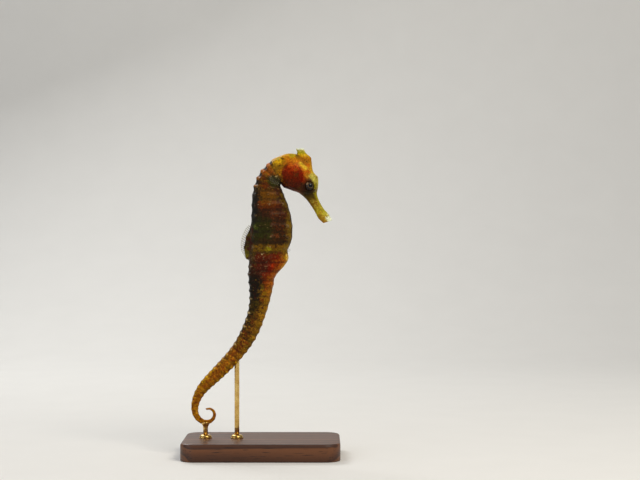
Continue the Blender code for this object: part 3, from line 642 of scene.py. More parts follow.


# Live seahorse skin: bony plates under a thin moist skin with a faint wet shine; the knobs carry
# painted highlights.
skinPaint = {
    "clouds": (0.5, 0.8, 1.2, 2.4),        # sizes of the clouds in the skin
    # how far its widest and its finer clouds move an edge, in rings, degrees or millimetres
    "sway": {"ring": (1.0, 0.8), "turn": (46.0, 34.0), "redHeight": (5.0, 3.5), "cheek": (0.45, 0.4),
             "spot": (2.0, 2.4)},
    "plateTone": (0.74, 1.3),              # darkest and lightest plate
    "fleckEvery": 1.1, "fleckShaken": 0.6,
    "speckle": ((0.67, 1.29), (0.72, 1.28)), "roughness": (0.38, 0.6),
    "grain": 0.55, "grainHigh": 0.08,
    # the tints, from pale to dark and from yellow through red to green
    "tints": {
        "ivory": "#E2E8CC", "sand": "#B8A270", "tan": "#7C6444", "straw": "#B6AA46", "lemon": "#A09414",
        "gold": "#C29510", "honey": "#9A6C14", "amber": "#9C620A", "ochre": "#7C560A",
        "bronze": "#624A0C", "olive": "#46360A", "tangerine": "#B4560E", "orange": "#8C460A",
        "flame": "#9A2A04", "rust": "#5C2608", "crimson": "#6E0400", "blood": "#4A0200",
        "brick": "#581404", "khaki": "#6E6218", "copper": "#9A4C08", "russet": "#6C400A",
        "wine": "#33100C", "chestnut": "#44240A", "umber": "#2E1C0B", "sepia": "#201A0E",
        "soot": "#131210", "moss": "#262A0B", "leaf": "#485214", "brow": "#D8B02C", "hump": "#B8701A",
        "pitch": "#0A0604", "peat": "#1A0C06", "rim": "#1C0C08", "creaseShade": "#1C0A08",
    },
    # along the back, the flank and the belly edge: ring and tint
    "back": (
        (-9.0, "ivory"), (-8.0, "straw"), (-6.4, "lemon"), (-4.8, "bronze"), (-3.8, "straw"),
        (-2.8, "gold"), (-1.7, "amber"), (-0.4, "gold"), (0.7, "copper"), (2.2, "orange"),
        # the soot of the back is dark pigment with painted shade on the side turned from the light
        (3.2, "chestnut"), (4.2, "sepia"), (5.0, "soot"), (8.2, "soot"), (9.6, "umber"), (11.2, "olive"),
        (12.4, "umber"), (13.6, "soot"), (17.6, "soot"), (20.0, "sepia"), (22.4, "bronze"),
        (24.5, "ochre"), (26.5, "honey"), (30.0, "gold"), (32.5, "honey"), (46.0, "amber"),
    ),
    "flank": (
        (-9.0, "straw"), (-7.6, "lemon"), (-6.4, "ochre"), (-5.3, "olive"), (-4.3, "umber"),
        (-3.3, "chestnut"), (-2.4, "tangerine"), (-0.8, "amber"), (0.4, "ochre"), (1.3, "orange"),
        (2.4, "chestnut"), (4.4, "chestnut"), (5.4, "olive"), (6.4, "chestnut"), (7.4, "umber"),
        (8.6, "sepia"), (9.6, "umber"), (10.4, "olive"), (11.2, "rust"), (12.6, "umber"), (15.0, "umber"),
        (17.0, "chestnut"), (21.5, "chestnut"), (23.5, "rust"), (25.5, "amber"), (46.0, "amber"),
    ),
    "belly": (
        (-9.0, "honey"), (-7.8, "lemon"), (-6.4, "ochre"), (-5.2, "olive"), (-3.8, "rust"),
        (-2.4, "wine"), (-0.8, "wine"), (0.3, "sepia"), (3.2, "sepia"), (4.8, "chestnut"),
        (7.2, "chestnut"), (9.4, "olive"), (10.4, "bronze"), (11.2, "honey"), (12.4, "orange"),
        (14.6, "ochre"), (18.0, "ochre"), (21.0, "bronze"), (24.5, "ochre"), (46.0, "amber"),
    ),
    # red of the cheek by height, darker towards the bottom partly as painted shade
    "cheek": (
        (121.0, "wine"), (124.2, "wine"), (126.8, "blood"), (130.0, "crimson"), (132.2, "flame"),
        (134.0, "tangerine"),
    ),
    "crown": (
        (0.0, "amber"), (0.3, "amber"), (0.48, "gold"), (0.7, "lemon"), (0.86, "straw"), (0.97, "ivory"),
        (1.0, "ivory"),
    ),
    # what a mark is; rings from, to, soft; degrees from the back from, to, soft; tint, amount; and
    # the size of the cloud that breaks it up with how much of the mark that takes away
    "marks": {
        "gold of the nape": ((-1.2, 0.2, 0.4), (10, 60, 14), "gold", 0.85, (1.2, 0.42)),
        "green gold under it": ((-0.7, 0.5, 0.4), (58, 84, 12), "bronze", 0.6, (1.2, 0.42)),
        "orange over the cheek": ((-2.4, -0.6, 0.4), (32, 64, 12), "tangerine", 0.6, (1.2, 0.36)),
        # yellow of the snout, painted lighter along its top as a highlight
        "yellow snout top with painted highlight": ((-8.0, -5.0, 0.5), (0, 44, 18), "lemon", 0.6, (2.4, 0.36)),
        "yellow mottling of the snout": ((-8.2, -6.0, 0.5), (34, 120, 20), "straw", 0.4, (0.8, 0.5)),
        "gold of the lower lip": ((-9.2, -8.0, 0.4), (110, 180, 24), "honey", 0.7, None),
        "white upper lip": ((-12.0, -8.7, 0.3), (0, 72, 26), "ivory", 0.95, None),
        "amber freckles of the lip": ((-9.0, -7.4, 0.3), (70, 150, 20), "amber", 0.6, (0.8, 0.52)),
        "rust of the neck": ((0.9, 3.8, 0.5), (50, 98, 14), "rust", 0.65, (1.2, 0.48)),
        "dark front of the neck": ((0.2, 3.8, 0.8), (108, 180, 18), "sepia", 0.8, (2.4, 0.34)),
        "moss below the side fin": ((1.2, 3.0, 0.4), (84, 132, 14), "moss", 0.8, (1.2, 0.36)),
        "flecks of the neck": ((0.8, 4.4, 0.5), (38, 128, 10), "ochre", 0.5, (0.8, 0.53)),
        "pale line of the throat": ((1.8, 4.2, 0.4), (164, 180, 8), "sand", 0.5, (0.8, 0.45)),
        "gold brown of the shoulder": ((4.7, 5.7, 0.5), (70, 114, 20), "russet", 0.8, (1.2, 0.4)),
        "rust of the breast": ((5.9, 6.6, 0.35), (60, 122, 16), "rust", 0.85, (1.2, 0.36)),
        "dark band of the breast": ((6.7, 7.8, 0.3), (60, 116, 14), "sepia", 0.9, (2.4, 0.3)),
        "pale edge of the breast": ((5.0, 9.8, 0.6), (136, 162, 8), "bronze", 0.85, (2.4, 0.3)),
        "dark keel of the breast": ((4.2, 9.6, 0.5), (163, 180, 5), "soot", 0.9, None),
        "wine line of the breast": ((3.8, 6.9, 0.8), (118, 134, 12), "wine", 0.85, (1.2, 0.4)),
        "dark breast": ((6.6, 8.0, 0.5), (72, 112, 16), "wine", 0.55, (2.4, 0.42)),
        "red mottling of the flank": ((6.9, 9.9, 0.5), (98, 136, 12), "rust", 0.6, (0.8, 0.52)),
        "moss of the flank": ((7.7, 9.3, 0.6), (36, 84, 18), "moss", 0.75, (2.4, 0.42)),
        "dark line over the band": ((9.3, 9.8, 0.3), (66, 126, 14), "umber", 0.7, (0.8, 0.44)),
        "olive band": ((9.9, 10.5, 0.3), (52, 142, 18), "ochre", 0.4, (1.2, 0.42)),
        "blood of the pouch": ((10.7, 12.4, 0.4), (66, 112, 16), "blood", 0.7, (1.2, 0.36)),
        "rust of the pouch": ((10.8, 12.8, 0.5), (62, 136, 12), "brick", 0.7, (2.4, 0.3)),
        "orange of the pouch": ((11.6, 15.2, 0.6), (118, 160, 14), "orange", 0.75, (2.4, 0.36)),
        "yellow edge of the pouch": ((10.9, 12.6, 0.4), (154, 180, 12), "gold", 0.7, (2.4, 0.3)),
        # painted highlight along the lip of the pouch
        "painted highlight on the lip of the pouch": ((10.9, 11.4, 0.25), (160, 180, 8), "sand", 0.8, (0.8, 0.38)),
        "freckled foot of the dorsal fin": ((8.6, 11.4, 0.5), (0, 11, 4), "khaki", 0.5, (0.8, 0.54)),
        "red over the foot of the fin": ((8.4, 10.8, 0.5), (14, 30, 5), "blood", 0.7, (1.2, 0.4)),
        "wine behind the pouch": ((11.2, 14.4, 0.6), (20, 84, 14), "wine", 0.7, (1.2, 0.4)),
        "mauve flecks behind it": ((10.8, 13.4, 0.4), (36, 92, 10), "tan", 0.4, (0.8, 0.6)),
        # dark pigment of the back with painted shade
        "black back of the tail": ((13.6, 17.4, 1.0), (-30, 82, 10), "soot", 1.0, (2.4, 0.26)),
        "brick beside the black": ((11.6, 15.2, 0.7), (99, 118, 8), "brick", 0.8, (2.4, 0.3)),
        "dark back below it": ((17.0, 20.5, 0.8), (-30, 66, 10), "sepia", 0.9, (2.4, 0.3)),
        "moss flecks of that back": ((16.6, 21.5, 0.6), (30, 84, 10), "olive", 0.7, (0.8, 0.5)),
        "olive blotches of the tail": ((14.2, 19.0, 0.6), (84, 114, 10), "bronze", 0.6, (1.2, 0.52)),
        "gold of the tail": ((15.0, 26.0, 1.0), (104, 180, 14), "honey", 0.55, (1.2, 0.5)),
        "dark spots of the tail": ((13.6, 25.0, 0.6), (56, 130, 12), "wine", 0.7, (1.2, 0.6)),
        # painted highlight along the keel of the tail
        "painted highlight along the keel of the tail": ((15.0, 32.0, 1.5), (160, 180, 10), "lemon", 0.5, (0.8, 0.42)),
        "rust of the lower tail": ((21.5, 42.0, 1.5), (50, 110, 14), "rust", 0.75, (1.2, 0.5)),
        "orange of the lower tail": ((24.0, 46.0, 1.5), (30, 180, 20), "orange", 0.6, (2.4, 0.48)),
        "gold flecks of the lower tail": ((20.0, 46.0, 1.5), (20, 180, 20), "honey", 0.6, (0.8, 0.56)),
        "dark spots of the lower tail": ((19.0, 46.0, 1.5), (50, 180, 20), "rust", 0.6, (1.2, 0.58)),
    },
    # where the dark back gives way to the flank, and the flank to the pale belly edge: degrees at
    # the first ring and at the second, and the soft edge
    "borders": ((-1.0, 5.0, 40.0, 62.0, -10.0, 10.0), (9.0, 12.5, 136.0, 106.0, -10.0, 14.0)),
    # marks seen from the side: x, z, radius, soft edge, tint, amount
    "spots": (
        (13.8, 137.5, 1.1, 0.8, "lemon", 0.7),       # crown
        (16.4, 138.1, 0.7, 0.7, "umber", 0.8),       # behind and below the coronet
        (17.0, 137.0, 1.0, 0.8, "ochre", 0.7),
        (20.0, 135.6, 2.0, 1.3, "ochre", 0.65),
        (9.9, 136.5, 0.35, 0.4, "umber", 0.8),       # dots of the nape
        (8.0, 133.0, 0.35, 0.4, "umber", 0.7),
        (8.2, 135.4, 1.2, 0.9, "gold", 0.9),         # brightest gold
        (7.6, 136.1, 0.5, 0.5, "straw", 0.7),
        (13.0, 134.2, 1.0, 0.8, "tangerine", 0.6),   # over the cheek
        (21.1, 129.5, 1.1, 0.7, "tangerine", 0.75),  # before the cheek
        (22.8, 128.6, 0.9, 0.7, "straw", 0.8),
        (20.8, 128.3, 1.0, 0.9, "honey", 0.75),
        (15.7, 131.3, 0.6, 0.6, "orange", 0.75),     # on the cheek
        (15.7, 129.0, 0.9, 0.7, "chestnut", 0.7),
        (19.3, 126.6, 1.2, 1.0, "crimson", 0.5),
        (11.2, 132.6, 0.5, 0.5, "rust", 0.7),
        (24.2, 127.8, 1.1, 0.8, "straw", 0.9),       # spine over the eye
        (24.6, 126.2, 1.2, 0.8, "straw", 0.8),       # in front of the eye
        (24.5, 124.0, 0.9, 0.7, "lemon", 0.7),
        (21.2, 121.4, 1.5, 1.1, "sepia", 0.85),      # below the eye
        (19.4, 123.0, 1.2, 0.9, "wine", 0.7),
        (6.6, 128.1, 0.45, 0.45, "sand", 0.75),      # painted highlight at the root of the side fin
        (4.8, 129.8, 0.8, 0.7, "rust", 0.6),
        (5.8, 125.6, 2.2, 1.2, "moss", 0.9),         # below the side fin
        (1.8, 124.2, 1.2, 0.9, "rust", 0.85),
        (-3.0, 105.4, 0.5, 0.7, "leaf", 0.85),       # behind the dorsal fin
        (-2.2, 104.6, 0.5, 0.7, "leaf", 0.85),
        (0.2, 102.8, 1.6, 1.4, "moss", 0.7),
        (3.2, 95.0, 1.5, 0.9, "bronze", 0.8),        # on the olive band
        (3.3, 95.1, 0.8, 0.8, "lemon", 0.6),
        (0.5, 92.9, 0.45, 0.35, "sand", 0.8),
        (-6.9, 92.8, 1.3, 0.9, "khaki", 0.9),        # foot of the dorsal fin
        (-5.3, 101.8, 1.0, 0.8, "olive", 0.6),
        (4.0, 86.0, 1.2, 0.9, "crimson", 0.5),       # red of the pouch
        (5.2, 87.5, 0.7, 0.7, "flame", 0.55),
        (0.3, 77.3, 0.9, 0.7, "bronze", 1.0),        # blotches of the tail
        (1.2, 74.6, 0.9, 0.7, "ochre", 1.0),
        (1.4, 76.0, 0.5, 0.5, "rust", 0.8),
        (0.2, 71.6, 0.7, 0.6, "rust", 0.8),
        (-2.2, 70.2, 0.8, 0.6, "olive", 0.9),
        (0.6, 68.3, 0.5, 0.4, "wine", 0.9),
        (1.8, 65.0, 0.5, 0.4, "chestnut", 0.8),
    ),
}


def skinMaterial():
    material, tree, shader = newMaterial("seahorseSkin", Roughness=0.5, IOR=1.4, Specular_IOR_Level=0.16,
                                         Specular_Tint=(1.0, 0.66, 0.34, 1.0), Coat_Weight=0.02,
                                         Coat_Roughness=0.2, Subsurface_Weight=0.03,
                                         Subsurface_Radius=(1.0, 0.4, 0.2), Subsurface_Scale=0.0006)
    tints = skinPaint["tints"]
    place = addNode(tree, "TexCoord", give="Object")
    field = {name: addNode(tree, "Attribute", give="Fac", attribute_name=name)
             for name in ("ring", "turn", "swell", "knob", "groove", "orbit", "cheek", "brow", "crown")}
    cloud = {size: addNode(tree, "TexNoise", {"Vector": place, "Scale": perMetre(size), "Detail": 2.5,
                                              "Roughness": 0.55}, None) for size in skinPaint["clouds"]}
    drift, fine = (addNode(tree, "SeparateColor", {"Color": cloud[size]["Color"]}, None)
                   for size in (2.4, 0.8))

    def wander(value, key, channel):
        # the value moved to and fro by the clouds, so that no edge runs straight
        for noise, much in zip((drift[channel], fine[channel]), skinPaint["sway"][key]):
            sway = addNode(tree, "Math", {0: noise, 1: much, 2: -much / 2}, operation="MULTIPLY_ADD")
            value = addNode(tree, "Math", {0: value, 1: sway}, operation="ADD")
        return value

    def broken(size, share):
        # patches of a cloud of this size; a larger share leaves less of it
        return cloud[size]["Fac"], share - 0.09, share + 0.09

    def tinted(value, key):
        return colourAlong(tree, value, [(at, tints[name]) for at, name in skinPaint[key]])

    # back, flank and belly edge, each with its own tints along the body
    ring, turn = wander(field["ring"], "ring", 0), wander(field["turn"], "turn", 1)
    colour = tinted(ring, "back")
    for key, (first, last, before, after, off, on) in zip(("flank", "belly"), skinPaint["borders"]):
        border = addNode(tree, "MapRange", {"Value": field["ring"], "From Min": first, "From Max": last,
                                            "To Min": before, "To Max": after},
                         interpolation_type="SMOOTHSTEP", clamp=False)
        past = addNode(tree, "Math", {0: turn, 1: border}, operation="SUBTRACT")
        colour = paintOver(tree, colour, (tinted(ring, key), (past, off, on)))
    for rings, degrees, tint, amount, patches in skinPaint["marks"].values():
        parts = [(ring, *rings), (turn, *degrees), amount] + ([broken(*patches)] if patches else [])
        colour = paintOver(tree, colour, (tints[tint], *parts))

    # cheek: red in a soft ragged patch over the gill cover, darker towards its bottom partly as painted
    # shade, and browner in clouds
    forward, _, height = addNode(tree, "SeparateXYZ", {"Vector": place}, None)
    forward, height = (addNode(tree, "Math", {0: metres, 1: 1000.0}, operation="MULTIPLY")
                       for metres in (forward, height))
    red = paintOver(tree, tinted(wander(height, "redHeight", 2), "cheek"),
                    (tints["brick"], broken(0.8, 0.58), 0.6), (tints["blood"], broken(1.2, 0.54), 0.5))
    cheek = wander(field["cheek"], "cheek", 1)
    colour = paintOver(tree, colour, (red, (cheek, 0.48, 0.72), 0.95),
                       (tints["brow"], field["brow"], broken(0.8, 0.36)))

    # spots by their place seen from the side, unsettled by the clouds so that none is quite round
    flat = addNode(tree, "CombineXYZ", {"X": wander(forward, "spot", 1), "Z": wander(height, "spot", 2)})
    for x, z, radius, soft, tint, amount in skinPaint["spots"]:
        away = addNode(tree, "VectorMath", {0: flat, 1: (x, 0.0, z)}, "Value", operation="DISTANCE")
        colour = paintOver(tree, colour, (tints[tint], (away, radius + soft, radius - soft / 2), amount))

    # each bony plate is a little lighter or darker than the next
    plate = addNode(tree, "CombineXYZ", {"X": addNode(tree, "Math", {0: ring}, operation="ROUND"),
                                         "Y": addNode(tree, "Math", {0: turn, 1: 36.0}, operation="SNAP")})
    tone = addNode(tree, "TexWhiteNoise", {"Vector": plate}, "Value")
    low, high = skinPaint["plateTone"]
    tone = addNode(tree, "MapRange", {"Value": tone, "To Min": low, "To Max": high}, clamp=False)
    onBody = maskOf(tree, (field["ring"], 0.4, 45.0, 0.4))
    colour = addNode(tree, "HueSaturation", {"Color": colour, "Value": tone, "Fac": onBody})

    # dark joints, black gaps between the first rings along the back, bright humps between them
    nape = maskOf(tree, (field["ring"], 0.5, 3.9, 0.3))
    gap = maskOf(tree, (field["swell"], 0.5, 0.22), nape)
    hump = maskOf(tree, (field["swell"], 0.55, 0.95))
    colour = paintOver(
        tree, colour,
        (tints["soot"], (field["swell"], 0.4, 0.0), onBody, (field["ring"], 36.0, 22.0),
         broken(0.8, 0.42), 0.5),
        (tints["pitch"], gap, (field["turn"], 9.0, 36.0, 6.0)),
        (tints["umber"], gap, (turn, 34.0, 52.0, 10.0), 0.5),
        (tints["hump"], hump, nape, (field["turn"], 54.0, 30.0), broken(0.8, 0.44), 0.8))

    # pale flecks of uneven size along the rings of the trunk, dark pin dots on head and neck
    shift = addNode(tree, "CombineXYZ", {"X": fine[0], "Y": fine[1], "Z": fine[2]})
    shaken = addNode(tree, "VectorMath", {0: shift, 1: (skinPaint["fleckShaken"] * mm,) * 3, 2: place},
                     operation="MULTIPLY_ADD")
    cell = addNode(tree, "TexVoronoi", {"Vector": shaken, "Scale": perMetre(skinPaint["fleckEvery"])}, None)
    chosen = addNode(tree, "SeparateColor", {"Color": cell["Color"]}, None)
    reach = addNode(tree, "Math", {0: chosen[0], 1: 0.45, 2: -0.13}, operation="MULTIPLY_ADD")
    reach = addNode(tree, "Math", {0: reach, 1: 0.001}, operation="MAXIMUM")
    inside = addNode(tree, "Math", {0: cell["Distance"], 1: reach}, operation="DIVIDE")
    fleck = maskOf(tree, (inside, 1.1, 0.5))
    few = addNode(tree, "Math", {0: chosen[1], 1: 0.6}, operation="GREATER_THAN")
    along = field["ring"]
    colour = paintOver(
        tree, colour,
        (tints["tan"], fleck, hump, (along, 2.5, 13.5, 0.6), (field["turn"], 15.0, 150.0, 10.0), 0.9),
        (tints["honey"], fleck, (along, 13.5, 46.0, 1.0), 0.4),
        (tints["peat"], fleck, few, (along, -4.0, 4.5, 0.6), 0.8))

    # pale caps of the knobs down the back of the tail, golden towards its tip, faint on the trunk, are
    # painted highlights on the knob tops; then the rims of the eyes, painted shade in the grooves, and the
    # coronet
    knobHighlight = maskOf(tree, (field["knob"], 0.35, 0.75))
    colour = paintOver(
        tree, colour,
        (tints["sand"], knobHighlight, (along, 17.0, 27.0, 2.0), (field["turn"], 92.0, 80.0), 0.65),
        (tints["gold"], knobHighlight, (along, 25.0, 46.0, 2.0), 0.6),
        (tints["tan"], (field["knob"], 0.6, 0.95), broken(0.8, 0.46), (along, 2.5, 13.0, 1.0), 0.6),
        # painted shade in the groove of the gill cover, inside the mouth and down into the coronet's cup
        (tints["rim"], field["orbit"], 0.6), (tints["creaseShade"], field["groove"], 0.35),
        (tinted(field["crown"], "crown"), (field["crown"], 0.05, 0.3)))

    # fine speckle of the skin, and grains that stand up a little
    speckle = [addNode(tree, "MapRange", {"Value": value, "From Min": 0.3, "From Max": 0.7, "To Min": low,
                                          "To Max": high}, clamp=False)
               for value, (low, high) in zip((cloud[0.5]["Fac"], fine[2]), skinPaint["speckle"])]
    colour = addNode(tree, "HueSaturation", {"Color": colour, "Value": maskOf(tree, *speckle)})
    low, high = skinPaint["roughness"]
    rough = addNode(tree, "MapRange", {"Value": cloud[1.2]["Fac"], "From Min": 0.3, "From Max": 0.7,
                                       "To Min": low, "To Max": high})
    granule = addNode(tree, "TexVoronoi", {"Vector": place, "Scale": perMetre(skinPaint["grain"])},
                      "Distance")
    raised = addNode(tree, "Math", {0: granule, 1: -0.6, 2: cloud[0.5]["Fac"]}, operation="MULTIPLY_ADD")
    bump = addNode(tree, "Bump", {"Height": raised, "Distance": skinPaint["grainHigh"] * mm, "Strength": 0.6})
    return finishMaterial(material, shader, Base_Color=colour, Roughness=rough, Normal=bump)


def finish(piece, material, slot, *nodes):
    # hands a finished piece to the frame: its look, its body and the solids it stands for
    piece.data.materials.append(material)
    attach(piece, "root")
    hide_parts(*nodes)


skinLook = skinMaterial()
skin, head = buildSkin()
flesh = [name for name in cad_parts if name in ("snout", "head", "neck", "brood_pouch")
         or name.startswith(("trunk_", "tail_"))]
finish(skin, skinLook, "trunk_upper", *flesh)
print("skin:", len(skin.data.vertices), "points, in place of", len(flesh), "solids")


# the coronet
coronetShape = {
    "footRing": -1.85, "footLong": 0.72, "footWide": 0.5,      # on the crown: ring, half rings, half angle
    "footReach": (1.18, 0.75), "footTurns": (0.05, 0.36), "footSink": 0.06, "footOut": 0.1,
    "heart": (2.0, 0.0, 5.0),      # the foot spreads from a point this far behind and below its middle
    "root": (19.6, 134.9), "top": (17.35, 141.1), "bulge": 0.25,
    # share of the height, half length, half width
    "profile": ((0.0, 3.6, 2.5), (0.2, 3.75, 2.45), (0.35, 3.6, 2.2), (0.55, 2.6, 1.72), (0.75, 1.85, 1.4),
                (0.9, 1.78, 1.6), (0.98, 1.78, 1.62)),
    "points": 5, "pointOut": 0.09, "pointHigh": 0.14, "wrinkles": 9, "wrinkleDeep": 0.02,
    # share of the rim's size and rise of each row down into the cup
    "cup": ((0.96, 0.14), (0.88, 0.2), (0.76, 0.2), (0.62, 0.1), (0.46, -0.06), (0.3, -0.18), (0.14, -0.24)),
}


def buildCoronet():
    # column: centre(s) + (half length(s) cos a, half width(s) sin a), with five lobes towards the
    # top; its foot starts from points of the skin itself and turns into the column by s = 0.36
    shape = coronetShape
    share = np.linspace(0.0, 0.98, 44)[:, None]
    angle = (np.arange(80) * 2 * np.pi / 80)[None, :]
    knots = np.array(shape["profile"])
    half = smoothCurve(share.ravel(), knots[:, 0], knots[:, 1:])
    star = np.cos(shape["points"] * angle)
    lobes = 1 + shape["pointOut"] * ease(share, 0.6, 0.95) * star
    wrinkle = 1 + shape["wrinkleDeep"] * np.cos(shape["wrinkles"] * angle + 5 * share) * ease(share, 0.2, 0.5)
    root, top = np.array(shape["root"]), np.array(shape["top"])
    lean = root + (top - root) * share + np.array((shape["bulge"], 0.0)) * np.sin(np.pi * share)
    lift = shape["pointHigh"] * ease(share, 0.8, 0.98) * star
    column = np.stack((lean[:, :1] + half[:, :1] * lobes * wrinkle * np.cos(angle),
                       half[:, 1:] * lobes * wrinkle * np.sin(angle), lean[:, 1:] + lift), axis=2)
    reach = shape["footReach"][0] - shape["footReach"][1] * ease(share, 0.0, 0.34)
    foot = skinAt(head, shape["footRing"] - shape["footLong"] * reach * np.cos(angle),
                  shape["footWide"] * reach * np.sin(angle))
    centre = skinAt(head, np.array(shape["footRing"]), np.array(0.0))
    outward = foot - (centre - shape["heart"])
    outward = outward / np.linalg.norm(outward, axis=2, keepdims=True)
    foot = foot + outward * (ease(share, 0.0, 0.08) * shape["footOut"] - shape["footSink"])[..., None]
    turned = ease(share, *shape["footTurns"])[..., None]
    wall = foot * (1 - turned) + column * turned

    # over the rim and down into a shallow cup
    rim = wall[-1]
    middle = rim.mean(axis=0)
    level = (rim - middle) * (0, 0, 1)
    across = (rim - middle) * (1, 1, 0)
    cup = np.array([middle + across * wide + level * wide**2 + np.array((0, 0, rise))
                    for wide, rise in shape["cup"]])
    inCup = len(cup)
    crown = np.append(share, np.ones(inCup))[:, None] + 0 * angle
    fields = {"ring": shape["footRing"] - 0.6 * np.cos(angle) * (1 - crown),
              "turn": np.abs(np.degrees(shape["footWide"] * np.sin(angle))) + 0 * crown, "crown": crown,
              # painted shade that deepens down into the cup
              "groove": np.append(0 * share, np.linspace(0.0, 0.3, inCup))[:, None] + 0 * angle}
    return tubeMesh("coronet_skin", np.concatenate((wall, cup)), fields)


finish(buildCoronet(), skinLook, "coronet", "coronet")
print("coronet done")


# the eyes
eyeShape = {
    "gazeAhead": 17.0, "gazeUp": 10.0, "pupil": 29.0, "rim": 2.5, "iris": (56.0, 68.0),     # degrees
    "cornea": 0.1,
    # iris from dark to light, flecks, shade below, pale patch painted as a highlight, rim, pupil, white of
    # the eye
    "irisTints": ((0.3, "#140B07"), (0.45, "#1E120B"), (0.56, "#291A10"), (0.7, "#352315")),
    "fleck": "#5A4026", "shade": "#1A0E0A", "pale": "#94795A", "bronze": "#7A5C2C", "dark": "#04060F",
    "outside": "#1C100A", "highlightAt": (20.8, 125.0),
}


def buildEye(name, side):
    # ball in rows of equal angle from the gaze, back of the ball first; the cornea stands a
    # little proud of the pupil
    centre = np.array(headShape["eye"]) * (1, side, 1)
    ahead, up = np.radians(eyeShape["gazeAhead"]), np.radians(eyeShape["gazeUp"])
    gaze = np.array((np.sin(ahead) * np.cos(up), side * np.cos(ahead) * np.cos(up), np.sin(up)))
    across = np.cross((0.0, 0.0, 1.0), gaze)
    across /= np.linalg.norm(across)
    upward = np.cross(gaze, across)
    degrees = np.append(np.linspace(179.0, 73.0, 28), np.linspace(70.0, 1.0, 50))[:, None]
    tilt, angle = np.radians(degrees)[..., None], (np.arange(96) * 2 * np.pi / 96)[None, :, None]
    bulge = headShape["eyeRadius"] + eyeShape["cornea"] * (1 - ease(degrees, 20.0, 48.0))
    around = np.cos(angle) * across * side + np.sin(angle) * side * upward
    grid = centre + bulge[..., None] * (np.cos(tilt) * gaze + np.sin(tilt) * around)
    return tubeMesh(name, grid, {"fromGaze": degrees + 0 * angle[..., 0]})


def eyeMaterial():
    # wet eye under a clear cornea: dark blue pupil, thin bronze rim, dark brown iris with one
    # pale patch painted as a highlight
    material, tree, shader = newMaterial("wetEye", Roughness=0.35, IOR=1.376, Specular_IOR_Level=0.15,
                                         Coat_Weight=1.0, Coat_Roughness=0.02, Coat_IOR=1.22)
    look, pupil = eyeShape, eyeShape["pupil"]
    place = addNode(tree, "TexCoord", give="Object")
    fromGaze = addNode(tree, "Attribute", give="Fac", attribute_name="fromGaze")
    mottle, fine = (addNode(tree, "TexNoise", {"Vector": place, "Scale": perMetre(size), "Detail": detail})
                    for size, detail in ((0.7, 4.0), (0.22, 2.0)))
    edge = addNode(tree, "Math", {0: mottle, 1: 9.0, 2: -4.5}, operation="MULTIPLY_ADD")
    edge = addNode(tree, "Math", {0: fromGaze, 1: edge}, operation="ADD")
    height = addNode(tree, "SeparateXYZ", {"Vector": place}, "Z")
    flat = addNode(tree, "VectorMath", {0: place, 1: (1.0, 0.0, 1.0)}, operation="MULTIPLY")
    x, z = look["highlightAt"]
    fromHighlight = addNode(tree, "VectorMath", {0: flat, 1: (x * mm, 0.0, z * mm)}, "Value", operation="DISTANCE")
    colour = paintOver(
        tree, colourAlong(tree, mottle, look["irisTints"]), (look["fleck"], (fine, 0.52, 0.66), 0.4),
        (look["shade"], (height, 0.1241, 0.1226), 0.8), (look["pale"], (fromHighlight, 1.0 * mm, 0.3 * mm), 0.8),
        (look["bronze"], (edge, pupil, pupil + look["rim"], 1.5)),
        (look["dark"], (fromGaze, pupil + 1.5, pupil - 1.5)), (look["outside"], (fromGaze, *look["iris"])))
    return finishMaterial(material, shader, Base_Color=colour)


eyeLook = eyeMaterial()
for sideName, side in (("left", 1), ("right", -1)):
    finish(buildEye("ball_eye_" + sideName, side), eyeLook, "eye_" + sideName, "eye_" + sideName)
print("eyes done")


# the fins
finShape = {
    "dorsalEdge": ((-6.0, 106.2), (-8.2, 103.3), (-9.6, 99.0), (-9.6, 94.8), (-7.8, 91.0)),
    "dorsalRays": 17, "dorsalInside": 0.9, "dorsalWave": 0.12,
    "pectoralRoot": (7.3, 4.3, 128.2), "pectoralLength": 4.7, "pectoralFan": 48.0, "pectoralRootHalf": 1.15,
    "pectoralSplay": 32.0, "pectoralRays": 15, "pectoralBow": 0.35,
    "analRoot": (11.3, 0.0, 95.2), "analLength": 2.1, "analFan": 30.0, "analRootHalf": 0.45,
    "analDrop": 38.0, "analRays": 4,
    "web": 0.03, "rayThick": 0.055, "rootThick": 0.05,         # half thicknesses
    "dash": 0.45,
}


def finGrid(root, edge, rays, steps, bow=0.0):
    # sheet between two lines of points, `steps` rows out and 8 columns to a ray; each ray ends a
    # little beyond the web, and `bow` lifts the middle of the sheet sideways
    share = np.linspace(0.0, 1.0, 8 * rays + 1)
    inner, outer = (smoothCurve(share, np.linspace(0.0, 1.0, len(line)), line) for line in (root, edge))
    ray = 0.5 - 0.5 * np.cos(2 * np.pi * share * rays)
    out = np.linspace(0.0, 1.0, steps)[:, None]
    reach = out * (1 - 0.07 * out * (1 - ray))
    grid = inner + (outer - inner) * reach[..., None]
    grid[..., 1] += bow * np.sin(np.pi * out) * np.sin(np.pi * share)
    crest = ray**6
    half = (finShape["web"] + finShape["rayThick"] * crest * (1 - 0.55 * out)
            + finShape["rootThick"] * (1 - ease(out, 0.0, 0.2)))
    length = np.linalg.norm(outer - inner, axis=1)
    return grid, half, {"ray": crest + 0 * out, "out": out + 0 * crest, "along": out * length}


def buildDorsalFin():
    flesh, edge = (np.insert(np.array(line), 1, 0.0, axis=1)
                   for line in (bodyShape["dorsalFlesh"], finShape["dorsalEdge"]))
    flesh = flesh + np.array((finShape["dorsalInside"], 0.0, 0.0))
    grid, half, fields = finGrid(flesh, edge, finShape["dorsalRays"], 22)
    grid[..., 1] += finShape["dorsalWave"] * np.sin(np.linspace(0, 5 * np.pi, grid.shape[1])) * fields["out"]
    return sheetMesh("sheet_dorsal_fin", grid, half, fields)


def fanLines(root, along, across, length, fan, rootHalf, count=9):
    # two lines of a fan: a short straight root and an arc of tips
    turn = np.radians(np.linspace(-fan, fan, count))[:, None]
    share = turn / turn.max()
    return (root + across * rootHalf * share,
            root + length * (1 - 0.1 * share**2) * (np.cos(turn) * along + np.sin(turn) * across))


